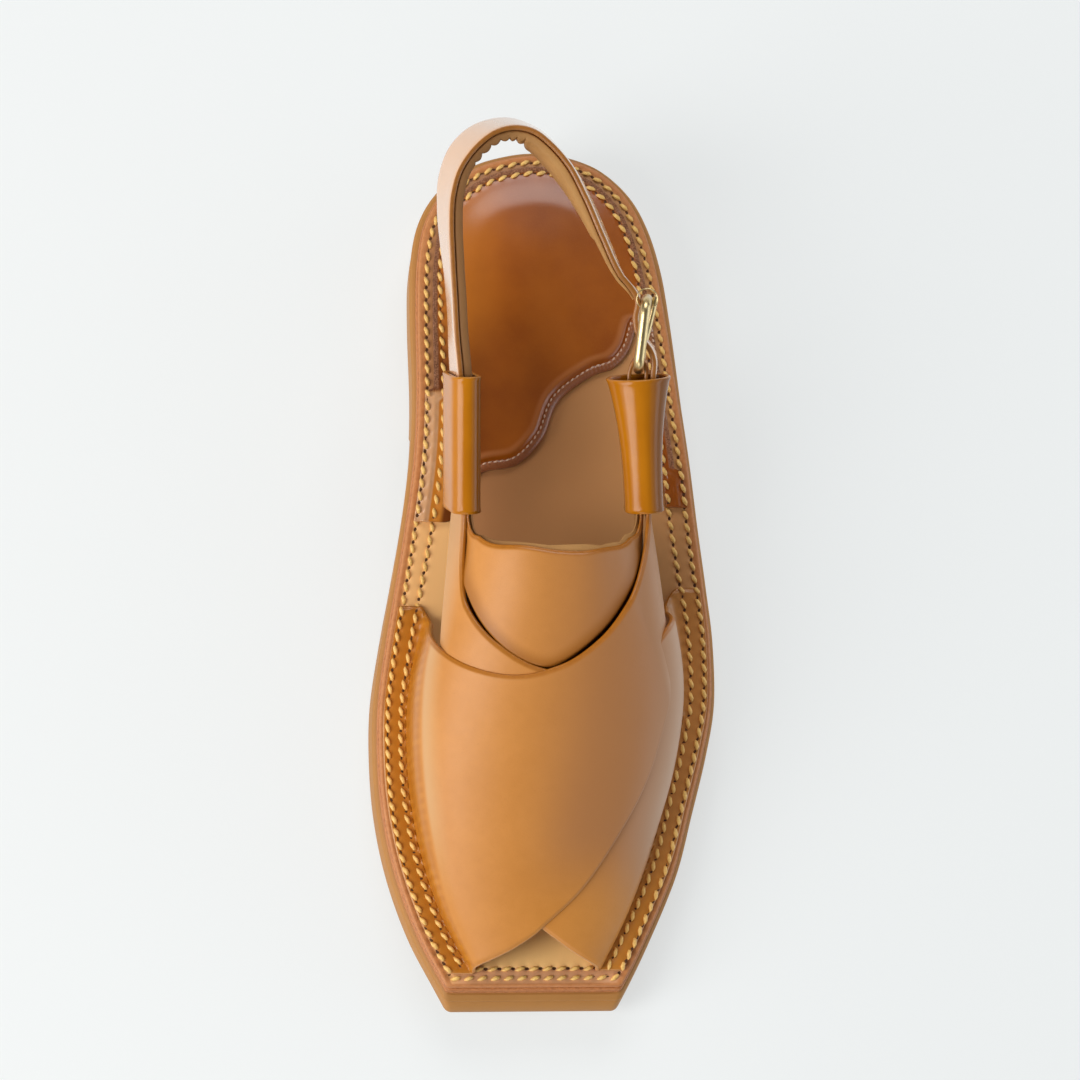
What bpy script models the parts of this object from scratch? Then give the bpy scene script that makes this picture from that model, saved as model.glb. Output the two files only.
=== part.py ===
"""Kaptan chappal, left foot: a flat leather sandal with a crossed vamp, an instep band,
two leather sleeves and a buckled heel strap.

X runs from the medial (-) to the lateral (+) side, -Y is the toe, +Y the heel, +Z up.
The ground is z = 0. Sizes below are millimetres and become metres in add_piece().
"""
import math
from collections import namedtuple

import bmesh
import bpy
import numpy as np

MM = 0.001
ORIGIN = (2.5, 4.35)     # where the bounding box's centre lies in the tables' X and Y

# ---------------------------------------------------------------- driving sizes
GAP = 0.3                # running gap between pieces that touch
TOE_MEDIAL_Y = -134.6    # front line of the leather edge, at its medial corner
TOE_LATERAL_Y = -133.9   # and at its lateral corner
HEEL_TIP_X = -0.6
HEEL_TIP_Y = 146.8
TOE_CORNER = 2.2         # rounding of the two toe corners
INSOLE_WALL = 1.8
MIDSOLE_WALL = 3.0
BOARD_EASE = 0.5         # how deep the arrises of both boards are eased

PANEL_EDGE = 2.4         # inset of the panels' raw edge
CREASE = 9.8             # inset of the crease where a panel leaves the insole
PANEL_WALL = 1.8
BAND_WALL = 2.4          # leather and lining of the instep band
OVER_LIFT = 1.1          # the over-panel rides this much above the under-panel
OVER_LIFT_TURN = 0.15    # and climbs there in this much of the turn
BAND_LIFT = -1.7         # the band lies under both, bonded to the under-panel
BAND_CLEAR = 0.8         # and drops clear of the over-panel's strap
BAND_CLEAR_TURN = (0.52, 0.62)

HEEL_FLANGE = 5.6        # inset of the heel cover's raw edge, between the stitch rows
HEEL_WALL = 1.3
HEEL_PAD = 2.5           # how far the padded field stands above the flange
PAD_START = 2.6          # width of the flange
PAD_RUN = 5.0            # width of the pad's slopes

SLEEVE_WALL = 1.4
ARM_HEIGHT = 18.8        # the upper's arms inside the sleeves
STRAP_WALL = 2.0
STRAP_HEIGHT = 20.0
TAIL_HEIGHT = 15.0
LINING_WALL = 3.0
LINING_TIP = 1.4
LINING_DROP = 1.4        # how much lower than the strap the lining is
WIRE = 3.0               # diameter of the buckle's wire
BUCKLE_HEIGHT = 23.4
BUCKLE_CORNER = 4.0
PRONG = 2.0
LOOP_WALL = 1.3
EASE_SHARE = 0.25        # how much of its wall each arris of a strip is eased by
LOOP_HEIGHT = 13.0

# ------------------------------------------------------------------------ tables
# Plan of the leather edge: where its medial and lateral sides run at each station.
EdgeRow = namedtuple("EdgeRow", "y medial lateral")
EDGE = (
    EdgeRow(-150.0, -21.5, 17.0),
    EdgeRow(-132.0, -31.2, 27.6),
    EdgeRow(-115.0, -40.0, 36.2),
    EdgeRow(-95.0, -47.1, 44.8),
    EdgeRow(-75.0, -51.3, 50.2),
    EdgeRow(-55.0, -52.9, 55.2),
    EdgeRow(-38.0, -52.6, 58.0),
    EdgeRow(-18.0, -50.1, 57.6),
    EdgeRow(0.0, -47.3, 55.4),
    EdgeRow(20.0, -44.4, 52.6),
    EdgeRow(42.0, -42.0, 49.7),
    EdgeRow(65.0, -41.4, 46.2),
    EdgeRow(90.0, -42.0, 42.4),
    EdgeRow(108.0, -41.7, 39.1),
    EdgeRow(122.0, -39.2, 34.9),
    EdgeRow(133.0, -32.9, 28.9),
    EdgeRow(141.5, -22.4, 19.6),
    EdgeRow(145.6, -10.6, 9.2),
)

# Side view of the sole: height of the ground side and of the foot side.
SoleRow = namedtuple("SoleRow", "y ground deck")
SOLE = (
    SoleRow(-150.0, 10.6, 23.4),
    SoleRow(-135.0, 6.4, 20.6),
    SoleRow(-118.0, 3.0, 18.5),
    SoleRow(-100.0, 0.8, 17.2),
    SoleRow(-85.0, 0.0, 16.6),
    SoleRow(-60.0, 0.0, 16.1),
    SoleRow(-30.0, 0.0, 17.0),
    SoleRow(-12.0, 1.4, 18.4),
    SoleRow(10.0, 4.4, 20.5),
    SoleRow(30.0, 6.6, 22.6),
    SoleRow(49.0, 7.6, 24.6),
    SoleRow(70.0, 7.6, 26.0),
    SoleRow(100.0, 7.6, 26.9),
    SoleRow(160.0, 7.6, 27.1),
)
BREAST_Y = 50.0          # front of the heel; behind it the ground side is z = 0
BREAST_RUN = 2.5

# Rings round the edge of the sole: how far each stands out from the leather edge at the
# front line, along the forefoot, at the waist and round the heel.
Flare = namedtuple("Flare", "toe fore waist heel")
FLARE_FORE_Y = -40.0     # the sides' flare changes between these stations
FLARE_WAIST_Y = (25.0, 60.0)
FLARE_HEEL_Y = 105.0

# Side wall of the outsole: its flare, and its height as a share of the rubber's thickness
# and an offset from there.
WallRow = namedtuple("WallRow", "flare share rise")
OUTSOLE_WALL = (
    WallRow(Flare(4.6, 1.4, 0.6, 1.1), 0.0, 0.0),
    WallRow(Flare(5.6, 2.2, 1.2, 1.9), 0.0, 0.9),
    WallRow(Flare(2.4, 1.1, 0.9, 1.7), 1.0, -2.2),
    WallRow(Flare(2.5, 1.4, 1.2, 2.1), 1.0, -1.6),
    WallRow(Flare(1.7, 0.9, 0.8, 1.5), 1.0, -0.9),
    WallRow(Flare(0.6, 0.6, 0.5, 1.2), 1.0, 0.0),
)

# The two leather boards of the sole: flare and drop below the board's face.
BoardRow = namedtuple("BoardRow", "flare drop")
INSOLE_BOARD = (
    BoardRow(Flare(-1.6, -1.1, -1.1, -1.1), INSOLE_WALL),
    BoardRow(Flare(-1.5, -0.7, -0.7, -0.7), INSOLE_WALL - BOARD_EASE),
    BoardRow(Flare(-2.0, -1.0, -1.0, -1.0), BOARD_EASE),
    BoardRow(Flare(-2.5, -1.5, -1.5, -1.5), 0.0),
)
MIDSOLE_BOARD = (
    BoardRow(Flare(-0.2, -0.2, -0.2, -0.2), MIDSOLE_WALL),
    BoardRow(Flare(0.0, 0.0, 0.0, 0.0), MIDSOLE_WALL - BOARD_EASE),
    BoardRow(Flare(-0.8, -0.3, -0.3, -0.3), BOARD_EASE),
    BoardRow(Flare(-1.3, -0.8, -0.8, -0.8), 0.0),
)

# Cross-sections of the last: half arches that stand on two concave walls.
# medial and lateral are where the walls turn over, above the deck by wall; crown is the
# height of the arch and fullness its superellipse power.
LastRow = namedtuple("LastRow", "y medial lateral wall crown fullness")
LAST = (
    LastRow(-140.0, -16.0, 11.0, 2.0, 6.0, 1.9),
    LastRow(-128.0, -20.5, 17.0, 3.0, 10.0, 1.9),
    LastRow(-110.0, -29.5, 26.0, 5.0, 17.0, 1.9),
    LastRow(-85.0, -37.0, 35.0, 8.0, 27.0, 1.9),
    LastRow(-60.0, -40.5, 42.0, 10.0, 36.5, 2.0),
    LastRow(-35.0, -40.0, 44.5, 11.0, 45.0, 2.1),
    LastRow(-12.0, -34.5, 40.5, 11.0, 50.5, 2.3),
    LastRow(8.0, -30.5, 34.0, 10.0, 53.0, 2.5),
    LastRow(30.0, -29.0, 31.0, 10.0, 54.0, 2.6),
)
WALL_SHARE = 0.1         # share of the section's parameter that each wall takes
MARGIN_TURN = 0.06       # parameter beyond the crease that reaches the panels' raw edge

# Edges of the three straps of the upper on the last: turn goes from 0 at the medial crease
# over the crown at 0.5 to 1 at the lateral crease. The last row is inside the sleeve.
StrapEdge = namedtuple("StrapEdge", "turn y")
OVER_SCOOP = (
    StrapEdge(0.0, -9.0),
    StrapEdge(0.05, -13.5),
    StrapEdge(0.19, -24.2),
    StrapEdge(0.32, -34.0),
    StrapEdge(0.42, -37.8),
    StrapEdge(0.50, -35.0),
    StrapEdge(0.565, -27.0),
    StrapEdge(0.62, -16.5),
    StrapEdge(0.68, -4.0),
    StrapEdge(0.73, 8.0),
    StrapEdge(0.76, 20.0),
)
OVER_FREE = (
    StrapEdge(0.0, -128.5),
    StrapEdge(0.16, -126.5),
    StrapEdge(0.31, -123.8),
    StrapEdge(0.43, -119.5),
    StrapEdge(0.53, -112.5),
    StrapEdge(0.63, -99.5),
    StrapEdge(0.71, -76.0),
    StrapEdge(0.745, -50.0),
    StrapEdge(0.77, -26.0),
    StrapEdge(0.80, -6.0),
    StrapEdge(0.86, 14.0),
)
UNDER_SCOOP = (
    StrapEdge(1.0, -1.5),
    StrapEdge(0.93, -9.5),
    StrapEdge(0.77, -20.0),
    StrapEdge(0.67, -30.0),
    StrapEdge(0.57, -36.5),
    StrapEdge(0.47, -36.0),
    StrapEdge(0.38, -28.0),
    StrapEdge(0.30, -17.0),
    StrapEdge(0.245, -6.0),
    StrapEdge(0.21, 5.0),
    StrapEdge(0.20, 18.0),
)
UNDER_FREE = (
    StrapEdge(1.0, -127.0),
    StrapEdge(0.83, -125.8),
    StrapEdge(0.68, -122.8),
    StrapEdge(0.57, -118.0),
    StrapEdge(0.46, -110.0),
    StrapEdge(0.37, -96.0),
    StrapEdge(0.30, -72.0),
    StrapEdge(0.26, -48.0),
    StrapEdge(0.22, -26.0),
    StrapEdge(0.17, -8.0),
    StrapEdge(0.14, 12.0),
)
BAND_REAR = (
    StrapEdge(0.22, 18.0),
    StrapEdge(0.25, 11.0),
    StrapEdge(0.29, 6.0),
    StrapEdge(0.36, 2.4),
    StrapEdge(0.50, 0.6),
    StrapEdge(0.62, 2.2),
    StrapEdge(0.69, 6.5),
    StrapEdge(0.73, 11.0),
    StrapEdge(0.76, 18.0),
)
BAND_FRONT = (
    StrapEdge(0.15, 12.0),
    StrapEdge(0.17, -1.0),
    StrapEdge(0.23, -14.0),
    StrapEdge(0.33, -33.0),
    StrapEdge(0.50, -45.0),
    StrapEdge(0.65, -33.0),
    StrapEdge(0.76, -14.0),
    StrapEdge(0.82, -1.0),
    StrapEdge(0.86, 12.0),
)

# Front edge of the heel cover, from its medial wing round the S, up to the lateral margin
# and back along its lateral wing; share is how far round the rim each row is ruled to.
FrontRow = namedtuple("FrontRow", "x y share")
HEEL_FRONT = (
    FrontRow(-37.6, 19.4, 0.0),
    FrontRow(-29.5, 20.4, 0.03),
    FrontRow(-24.5, 30.5, 0.11),
    FrontRow(-19.0, 36.2, 0.19),
    FrontRow(-8.0, 38.9, 0.29),
    FrontRow(0.6, 47.9, 0.37),
    FrontRow(5.6, 60.2, 0.45),
    FrontRow(16.5, 69.0, 0.54),
    FrontRow(24.2, 72.2, 0.61),
    FrontRow(29.3, 78.3, 0.68),
    FrontRow(32.2, 87.2, 0.76),
    FrontRow(34.6, 86.6, 0.80),
    FrontRow(36.6, 70.0, 0.85),
    FrontRow(39.6, 46.0, 0.93),
    FrontRow(42.4, 26.0, 1.0),
)

# Axes of a sleeve or of the buckle: centres of its front and rear ends, how far the top
# leans in and the side of the foot that it is on.
Axes = namedtuple("Axes", "front rear lean side")
AXES_MEDIAL = Axes((-28.1, 17.5, 51.5), (-29.3, 57.8, 66.5), 6.0, -1)
AXES_LATERAL = Axes((30.8, 18.8, 52.0), (27.4, 58.2, 66.6), 6.0, 1)
AXES_BUCKLE = Axes((27.4, 61.3, 68.4), (29.1, 81.4, 76.1), 6.0, 1)    # its two upright bars

# Outer size of a sleeve at its ends, and how late it opens out.
Sleeve = namedtuple("Sleeve", "name axes across_front across_rear up_front up_rear flare")
SLEEVES = (
    Sleeve("keeper_medial", AXES_MEDIAL, 9.6, 9.6, 24.0, 24.0, 1.0),
    Sleeve("keeper_lateral", AXES_LATERAL, 12.4, 20.4, 24.0, 23.0, 2.6),
)
ARM_START = -12.0        # where an arm starts to turn upright, before its sleeve's mouth
ARM_END = 19.0           # and where it ends inside
BAND_END = 18.4          # as do the band's arms, a little sooner
ARM_ROWS = 9
OVER_LAYER = 0.3         # each arm's inner face, outward from its sleeve's axis
UNDER_LAYER = -0.05
BAND_LATERAL_LAYER = -2.8
BAND_MEDIAL_LAYER = -1.75
STRAP_START = 22.0       # where the heel strap starts inside the medial sleeve
STRAP_LEAVE = 3.0        # how far from the sleeve's rear end it starts to turn
STRAP_SIDE = 1.6         # how far it lies off the sleeve's axis there
STRAP_NARROW = 17.0      # and how high it is there

# Outer top arris of the heel strap from the medial sleeve to the buckle, its lean from
# upright and its height there.
CrestRow = namedtuple("CrestRow", "x y z lean height")
CREST = (
    CrestRow(-32.9, 68.0, 80.9, 2.0, 18.6),
    CrestRow(-33.9, 79.1, 84.5, 1.0, STRAP_HEIGHT),
    CrestRow(-34.8, 89.6, 87.0, 2.0, STRAP_HEIGHT),
    CrestRow(-35.4, 100.1, 89.6, 5.0, STRAP_HEIGHT),
    CrestRow(-34.9, 110.9, 91.4, 10.0, STRAP_HEIGHT),
    CrestRow(-32.6, 118.5, 92.6, 18.0, STRAP_HEIGHT),
    CrestRow(-27.8, 125.3, 93.8, 27.0, STRAP_HEIGHT),
    CrestRow(-21.4, 130.4, 94.8, 29.0, STRAP_HEIGHT),
    CrestRow(-15.4, 132.2, 95.1, 27.0, STRAP_HEIGHT),
    CrestRow(-8.8, 131.3, 95.1, 22.0, STRAP_HEIGHT),
    CrestRow(-2.2, 126.6, 94.4, 18.0, 19.6),
    CrestRow(2.8, 121.1, 93.4, 16.0, 19.2),
    CrestRow(8.5, 111.1, 91.5, 16.0, 18.6),
    CrestRow(14.2, 98.9, 89.1, 16.0, 17.6),
    CrestRow(19.9, 87.9, 86.2, 15.0, 16.4),
)

# Way of the heel strap through the buckle and of the loop round its front bar: along from
# the front bar to the rear one, and outward from the frame's plane.
WayPoint = namedtuple("WayPoint", "along out")
STRAP_IN_BUCKLE = (
    WayPoint(21.6, -2.8),
    WayPoint(15.5, -2.7),
    WayPoint(12.0, -1.7),
    WayPoint(9.0, 0.6),
    WayPoint(6.0, 3.3),
    WayPoint(3.0, 4.6),
    WayPoint(-0.5, 4.9),
)
TAIL_IN_SLEEVE = (WayPoint(39.0, 4.6), WayPoint(32.0, 3.9), WayPoint(25.0, 3.2))
INNER_LEG = (WayPoint(25.0, -2.6), WayPoint(33.0, -2.5))
OUTER_LEG = (WayPoint(33.0, 0.0), WayPoint(25.0, -0.7))
PRONG_ENDS = (WayPoint(2.0, 0.2), WayPoint(24.0, 2.9))

# Slots that the prong passes through: centre and size along, across and up.
Slot = namedtuple("Slot", "name along out length depth height")
STRAP_HOLE = Slot("strap_hole", 8.6, 1.5, 12.0, 6.0, PRONG + 0.9)
LOOP_HOLE = Slot("loop_hole", 3.0, 0.4, 5.0, 4.6, PRONG + 0.8)

# How finely each curve is drawn.
SIDE_STATIONS = np.concatenate([
    np.linspace(-121.0, -30.0, 12),
    np.linspace(-20.0, BREAST_Y, 7),
    np.linspace(BREAST_Y + BREAST_RUN, 104.0, 5),
])
HEEL_STEPS = 7
PANEL_ROWS = 31
PANEL_COLUMNS = 13
BAND_COLUMNS = 7
CORNER_STEPS = 3
HEEL_COLUMNS = 43
RIM_SAMPLES = 240
HEEL_ROWS = 9
SLEEVE_SIDES = 20
FLARED_SECTIONS = 7
STRAP_SAMPLES = 72
LINING_SAMPLES = (4, 55)  # those of the strap's samples that the lining follows
LINING_TAPER = (40, 54)   # and those between which it thins down
WIRE_SIDES = 8
BUCKLE_CORNER_STEPS = 3
LOOP_STEPS = 6

# Finishes of the pieces.
Finish = namedtuple("Finish", "colour roughness metallic")
RUBBER = Finish((0.36, 0.21, 0.10), 0.6, 0.0)
EDGE_LEATHER = Finish((0.46, 0.20, 0.10), 0.5, 0.0)
DECK_LEATHER = Finish((0.42, 0.22, 0.11), 0.5, 0.0)
HEEL_LEATHER = Finish((0.36, 0.12, 0.03), 0.3, 0.0)
UPPER_LEATHER = Finish((0.52, 0.25, 0.08), 0.45, 0.0)
SLEEVE_LEATHER = Finish((0.45, 0.19, 0.03), 0.3, 0.0)
LINING = Finish((0.35, 0.21, 0.08), 0.6, 0.0)
BRASS = Finish((0.75, 0.58, 0.28), 0.25, 1.0)
SHARP_ANGLE = 35.0       # degrees between facets above which an arris is drawn sharp


# ------------------------------------------------------------------ curves, sections
def smooth(table, column, at):
    """Cubic through a table's column, with the slope at each row taken from its neighbours."""
    station = np.array([row.y for row in table])
    value = np.array([getattr(row, column) for row in table])
    slope = np.gradient(value, station)
    low = np.clip(np.searchsorted(station, at) - 1, 0, len(station) - 2)
    run = station[low + 1] - station[low]
    t = np.clip((at - station[low]) / run, 0.0, 1.0)
    return (value[low] + (value[low + 1] - value[low]) * t * t * (3 - 2 * t)
            + run * slope[low] * (t ** 3 - 2 * t ** 2 + t)
            + run * slope[low + 1] * (t ** 3 - t ** 2))


def spline(points, count):
    """Catmull-Rom curve through points, with count samples at even parameters."""
    points = np.array(points, float)
    padded = np.vstack([2 * points[0] - points[1], points, 2 * points[-1] - points[-2]])
    at = np.linspace(0.0, len(points) - 1, count)
    low = np.minimum(at.astype(int), len(points) - 2)
    t = (at - low)[:, None]
    a, b, c, d = (padded[low + k] for k in range(4))
    return 0.5 * (2 * b + (c - a) * t + (2 * a - 5 * b + 4 * c - d) * t ** 2
                  + (3 * b - 3 * c + d - a) * t ** 3)


def even_spline(rows, count):
    """Smooth curve through rows whose first three columns are points, at even steps."""
    steps = np.linalg.norm(np.diff(rows[:, :3], axis=0), axis=1)
    knots = np.concatenate([[0.0], np.cumsum(steps)])
    slopes = np.gradient(rows, knots, axis=0)
    at = np.linspace(0.0, knots[-1], count)
    low = np.clip(np.searchsorted(knots, at, side="right") - 1, 0, len(steps) - 1)
    step = steps[low][:, None]
    t = (at - knots[low])[:, None] / step
    start = 2 * t ** 3 - 3 * t ** 2 + 1
    return (rows[low] * start + rows[low + 1] * (1 - start)
            + slopes[low] * step * (t ** 3 - 2 * t ** 2 + t)
            + slopes[low + 1] * step * (t ** 3 - t ** 2))


def resample(curve, share):
    """Points of a sampled curve at the given shares of its samples."""
    at = np.linspace(0.0, 1.0, len(curve))
    return np.stack([np.interp(share, at, column) for column in curve.T], axis=1)


def unit(vectors):
    return vectors / np.linalg.norm(vectors, axis=-1, keepdims=True)


def smoothstep(x):
    x = np.clip(x, 0.0, 1.0)
    return x * x * (3 - 2 * x)


def deck(y):
    """Height of the insole's face, which the foot stands on."""
    return smooth(SOLE, "deck", y)


def ground(y):
    """Height of the outsole's underside: toe spring, forefoot flat, arch, breast and heel."""
    rise = np.maximum(smooth(SOLE, "ground", y), 0.0)
    return rise * np.clip(1 - (y - BREAST_Y) / BREAST_RUN, 0.0, 1.0)


def edge_curve(flare):
    """The U of the leather edge, medial toe to heel to lateral toe, moved outward by a flare."""
    points = [(row.medial, row.y) for row in EDGE]
    points += [(HEEL_TIP_X, HEEL_TIP_Y)]
    points += [(row.lateral, row.y) for row in reversed(EDGE)]
    curve = spline(points, 12 * (len(points) - 1) + 1)
    along = unit(np.gradient(curve, axis=0))
    out = np.interp(curve[:, 1], (FLARE_FORE_Y, *FLARE_WAIST_Y, FLARE_HEEL_Y),
                    (flare.fore, flare.waist, flare.waist, flare.heel))
    return curve + out[:, None] * np.stack([-along[:, 1], along[:, 0]], axis=1)


def inset(width):
    """Flare of a ring that runs width inside the leather edge all round."""
    return Flare(-width, -width, -width, -width)


def edge_sides(flare, y):
    """Where the moved edge runs at stations y: x of its medial and of its lateral side."""
    curve = edge_curve(flare)
    tip = int(np.argmax(curve[:, 1]))
    medial = np.interp(y, curve[:tip + 1, 1], curve[:tip + 1, 0])
    lateral = np.interp(y, curve[tip:, 1][::-1], curve[tip:, 0][::-1])
    return medial, lateral


def toe_corner(flare, toe_y, side):
    """Rounded corner between the toe line and a side, listed from the toe line: a parabola."""
    reach = TOE_CORNER + max(flare.fore, 0.0)
    corner = np.array([edge_sides(flare, toe_y)[side], toe_y])
    on_toe = corner + np.array([-reach if side else reach, 0.0])
    on_side = np.array([edge_sides(flare, toe_y + reach)[side], toe_y + reach])
    t = np.linspace(0.0, 1.0, CORNER_STEPS + 1)[:, None]
    return (1 - t) ** 2 * on_toe + 2 * t * (1 - t) * corner + t * t * on_side


def ring(flare):
    """Closed plan outline of the leather edge moved outward by a flare, square at the toe.

    Its points run from the toe line up the medial side to the heel's tip and back down the
    lateral side, so point i faces point -1 - i across the shoe.
    """
    curve = edge_curve(flare)
    tip = curve[int(np.argmax(curve[:, 1]))]
    swing = np.linspace(0.0, math.pi / 2, HEEL_STEPS + 1)[1:-1]
    heel = SIDE_STATIONS[-1] + (tip[1] - SIDE_STATIONS[-1]) * np.sin(swing)
    y = np.concatenate([SIDE_STATIONS, heel])
    medial, lateral = edge_sides(flare, y)
    toe_medial = toe_corner(flare, TOE_MEDIAL_Y - flare.toe, 0)
    toe_lateral = toe_corner(flare, TOE_LATERAL_Y - flare.toe, 1)
    left = np.vstack([toe_medial, np.column_stack([medial, y])])
    right = np.vstack([toe_lateral, np.column_stack([lateral, y])])
    return np.vstack([left, tip, right[::-1]])


def last_surface(turn, y):
    """A point of the last: walls that rise as parabolas from the creases, level at first and
    upright at their tops, and a superellipse arch between them. turn below 0 or above 1 runs
    out along the flat stitched margins."""
    medial, lateral, wall, crown, fullness = (smooth(LAST, name, y) for name in LastRow._fields[1:])
    phi = math.pi * np.clip((turn - WALL_SHARE) / (1 - 2 * WALL_SHARE), 0.0, 1.0)
    swing = np.sign(np.cos(phi)) * np.abs(np.cos(phi)) ** (2 / fullness)
    x = (medial + lateral) / 2 - (lateral - medial) / 2 * swing
    z = wall + (crown - wall) * np.abs(np.sin(phi)) ** (2 / fullness)
    to_margin = (CREASE - PANEL_EDGE) / MARGIN_TURN
    for crease, base, depth, outward in (
            (edge_sides(inset(CREASE), y)[0], medial, turn, -1),
            (edge_sides(inset(CREASE), y)[1], lateral, 1 - turn, 1)):
        rise = np.clip(depth / WALL_SHARE, 0.0, 1.0)
        wall_x = base + (crease - base) * (1 - rise) ** 2
        flat_x = crease - outward * depth * to_margin
        x = np.where(depth < WALL_SHARE, np.where(depth < 0, flat_x, wall_x), x)
        z = np.where(depth < WALL_SHARE, rise * rise * wall, z)
    return np.stack([x, y, deck(y) + GAP + z], axis=-1)


def last_point(turn, y, lift):
    """A point above the last's surface by lift, along the surface's normal."""
    step = 1e-3
    across = last_surface(turn + step, y) - last_surface(turn - step, y)
    along = last_surface(turn, y + step) - last_surface(turn, y - step)
    return last_surface(turn, y) + unit(np.cross(across, along)) * lift[..., None]


def directions(axes):
    """Unit vectors of a sleeve or of the buckle: along to the rear, outward, and up."""
    along = unit(np.subtract(axes.rear, axes.front))
    lean = math.radians(axes.lean)
    upright = np.array([-axes.side * math.sin(lean), 0.0, math.cos(lean)])
    out = unit(np.cross(along, upright)) * axes.side
    return along, out, np.cross(out, along) * axes.side


def place(axes, along, out, up):
    """World points from distances along, outward and up in the axes of a sleeve or buckle."""
    along, out, up = np.broadcast_arrays(along, out, up)
    vectors = directions(axes)
    return (np.array(axes.front) + along[..., None] * vectors[0]
            + out[..., None] * vectors[1] + up[..., None] * vectors[2])


# --------------------------------------------------------------------------- meshes
def grid_faces(rows, columns, base, flip):
    faces = []
    for i in range(rows - 1):
        for j in range(columns - 1):
            a = base + i * columns + j
            quad = (a, a + 1, a + columns + 1, a + columns)
            faces.append(quad[::-1] if flip else quad)
    return faces


def slab(top, bottom):
    """Closed wall between two grids of points with the same rows and columns."""
    rows, columns = top.shape[:2]
    count = rows * columns
    faces = grid_faces(rows, columns, 0, False) + grid_faces(rows, columns, count, True)
    rim = list(range(columns))
    rim += [i * columns + columns - 1 for i in range(1, rows)]
    rim += [(rows - 1) * columns + j for j in range(columns - 2, -1, -1)]
    rim += [i * columns for i in range(rows - 2, 0, -1)]
    for a, b in zip(rim, rim[1:] + rim[:1]):
        faces.append((b, a, a + count, b + count))
    return np.vstack([top.reshape(-1, 3), bottom.reshape(-1, 3)]), faces


def wrap_faces(count, low, high):
    """Quads that join two loops of count points, which start at indices low and high."""
    return [(low + i, low + (i + 1) % count, high + (i + 1) % count, high + i)
            for i in range(count)]


def stack(rings):
    """Closed solid through outlines, bottom to top, closed by rungs across the shoe."""
    count = len(rings[0])
    half = count // 2
    faces = []
    for level in range(len(rings) - 1):
        faces += wrap_faces(count, level * count, (level + 1) * count)
    for base in (0, (len(rings) - 1) * count):
        for i in range(half - 1):
            faces.append((base + i, base + i + 1, base + count - 2 - i, base + count - 1 - i))
        faces.append((base + half - 1, base + half, base + half + 1))
    return np.vstack(rings), faces


def sweep(sections, closed):
    """Solid through equal sections, which runs round in a ring or is capped at both ends.

    Its quads are cut so that the facets on the two sides of a twisted strip are parallel.
    """
    count, total = len(sections[0]), len(sections)
    faces = []
    for level in range(total if closed else total - 1):
        quads = wrap_faces(count, level * count, (level + 1) % total * count)
        faces += [half for a, b, c, d in quads[:count // 2] for half in ((a, b, c), (a, c, d))]
        faces += [half for a, b, c, d in quads[count // 2:] for half in ((a, b, d), (b, c, d))]
    if not closed:
        faces += [tuple(range(count)), tuple(range((total - 1) * count, total * count))]
    return np.vstack(sections), faces


def add_piece(name, mesh_data, finish):
    """Blender object from points in millimetres, with its faces outward and its material."""
    points, faces = mesh_data
    mesh = bpy.data.meshes.new(name)
    mesh.from_pydata(((points - (*ORIGIN, 0.0)) * MM).tolist(), [], faces)
    shape = bmesh.new()
    shape.from_mesh(mesh)
    bmesh.ops.recalc_face_normals(shape, faces=shape.faces)
    shape.to_mesh(mesh)
    shape.free()
    mesh.shade_smooth()
    mesh.set_sharp_from_angle(angle=math.radians(SHARP_ANGLE))
    piece = bpy.data.objects.new(name, mesh)
    bpy.context.scene.collection.objects.link(piece)
    material = bpy.data.materials.new(name)
    material.use_nodes = True
    shader = material.node_tree.nodes["Principled BSDF"]
    shader.inputs["Base Color"].default_value = (*finish.colour, 1.0)
    shader.inputs["Roughness"].default_value = finish.roughness
    shader.inputs["Metallic"].default_value = finish.metallic
    mesh.materials.append(material)
    return piece


def combine(piece, guide, operation):
    """Join guide to piece, or cut it away, and keep guide only as a construction shape."""
    guide.hide_render = True
    guide.display_type = 'WIRE'
    modifier = piece.modifiers.new(guide.name, 'BOOLEAN')
    modifier.operation = operation
    modifier.object = guide


# ---------------------------------------------------------------------- sole pieces
def build_outsole():
    rings = []
    for row in OUTSOLE_WALL:
        plan = ring(row.flare)
        y = plan[:, 1]
        low = ground(y)
        high = deck(y) - INSOLE_WALL - MIDSOLE_WALL - 2 * GAP
        rings.append(np.column_stack([plan, low + row.share * (high - low) + row.rise]))
    add_piece("outsole", stack(rings), RUBBER)


def build_board(name, face_drop, board, finish):
    """A leather board of the sole, its face face_drop below the deck, with eased arrises."""
    rings = []
    for row in board:
        plan = ring(row.flare)
        rings.append(np.column_stack([plan, deck(plan[:, 1]) - face_drop - row.drop]))
    add_piece(name, stack(rings), finish)


def plan_distance(points, curve):
    """Distance in plan from each point of a grid to a curve's samples."""
    return np.linalg.norm(points[..., None, :] - curve, axis=-1).min(axis=-1)


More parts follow.
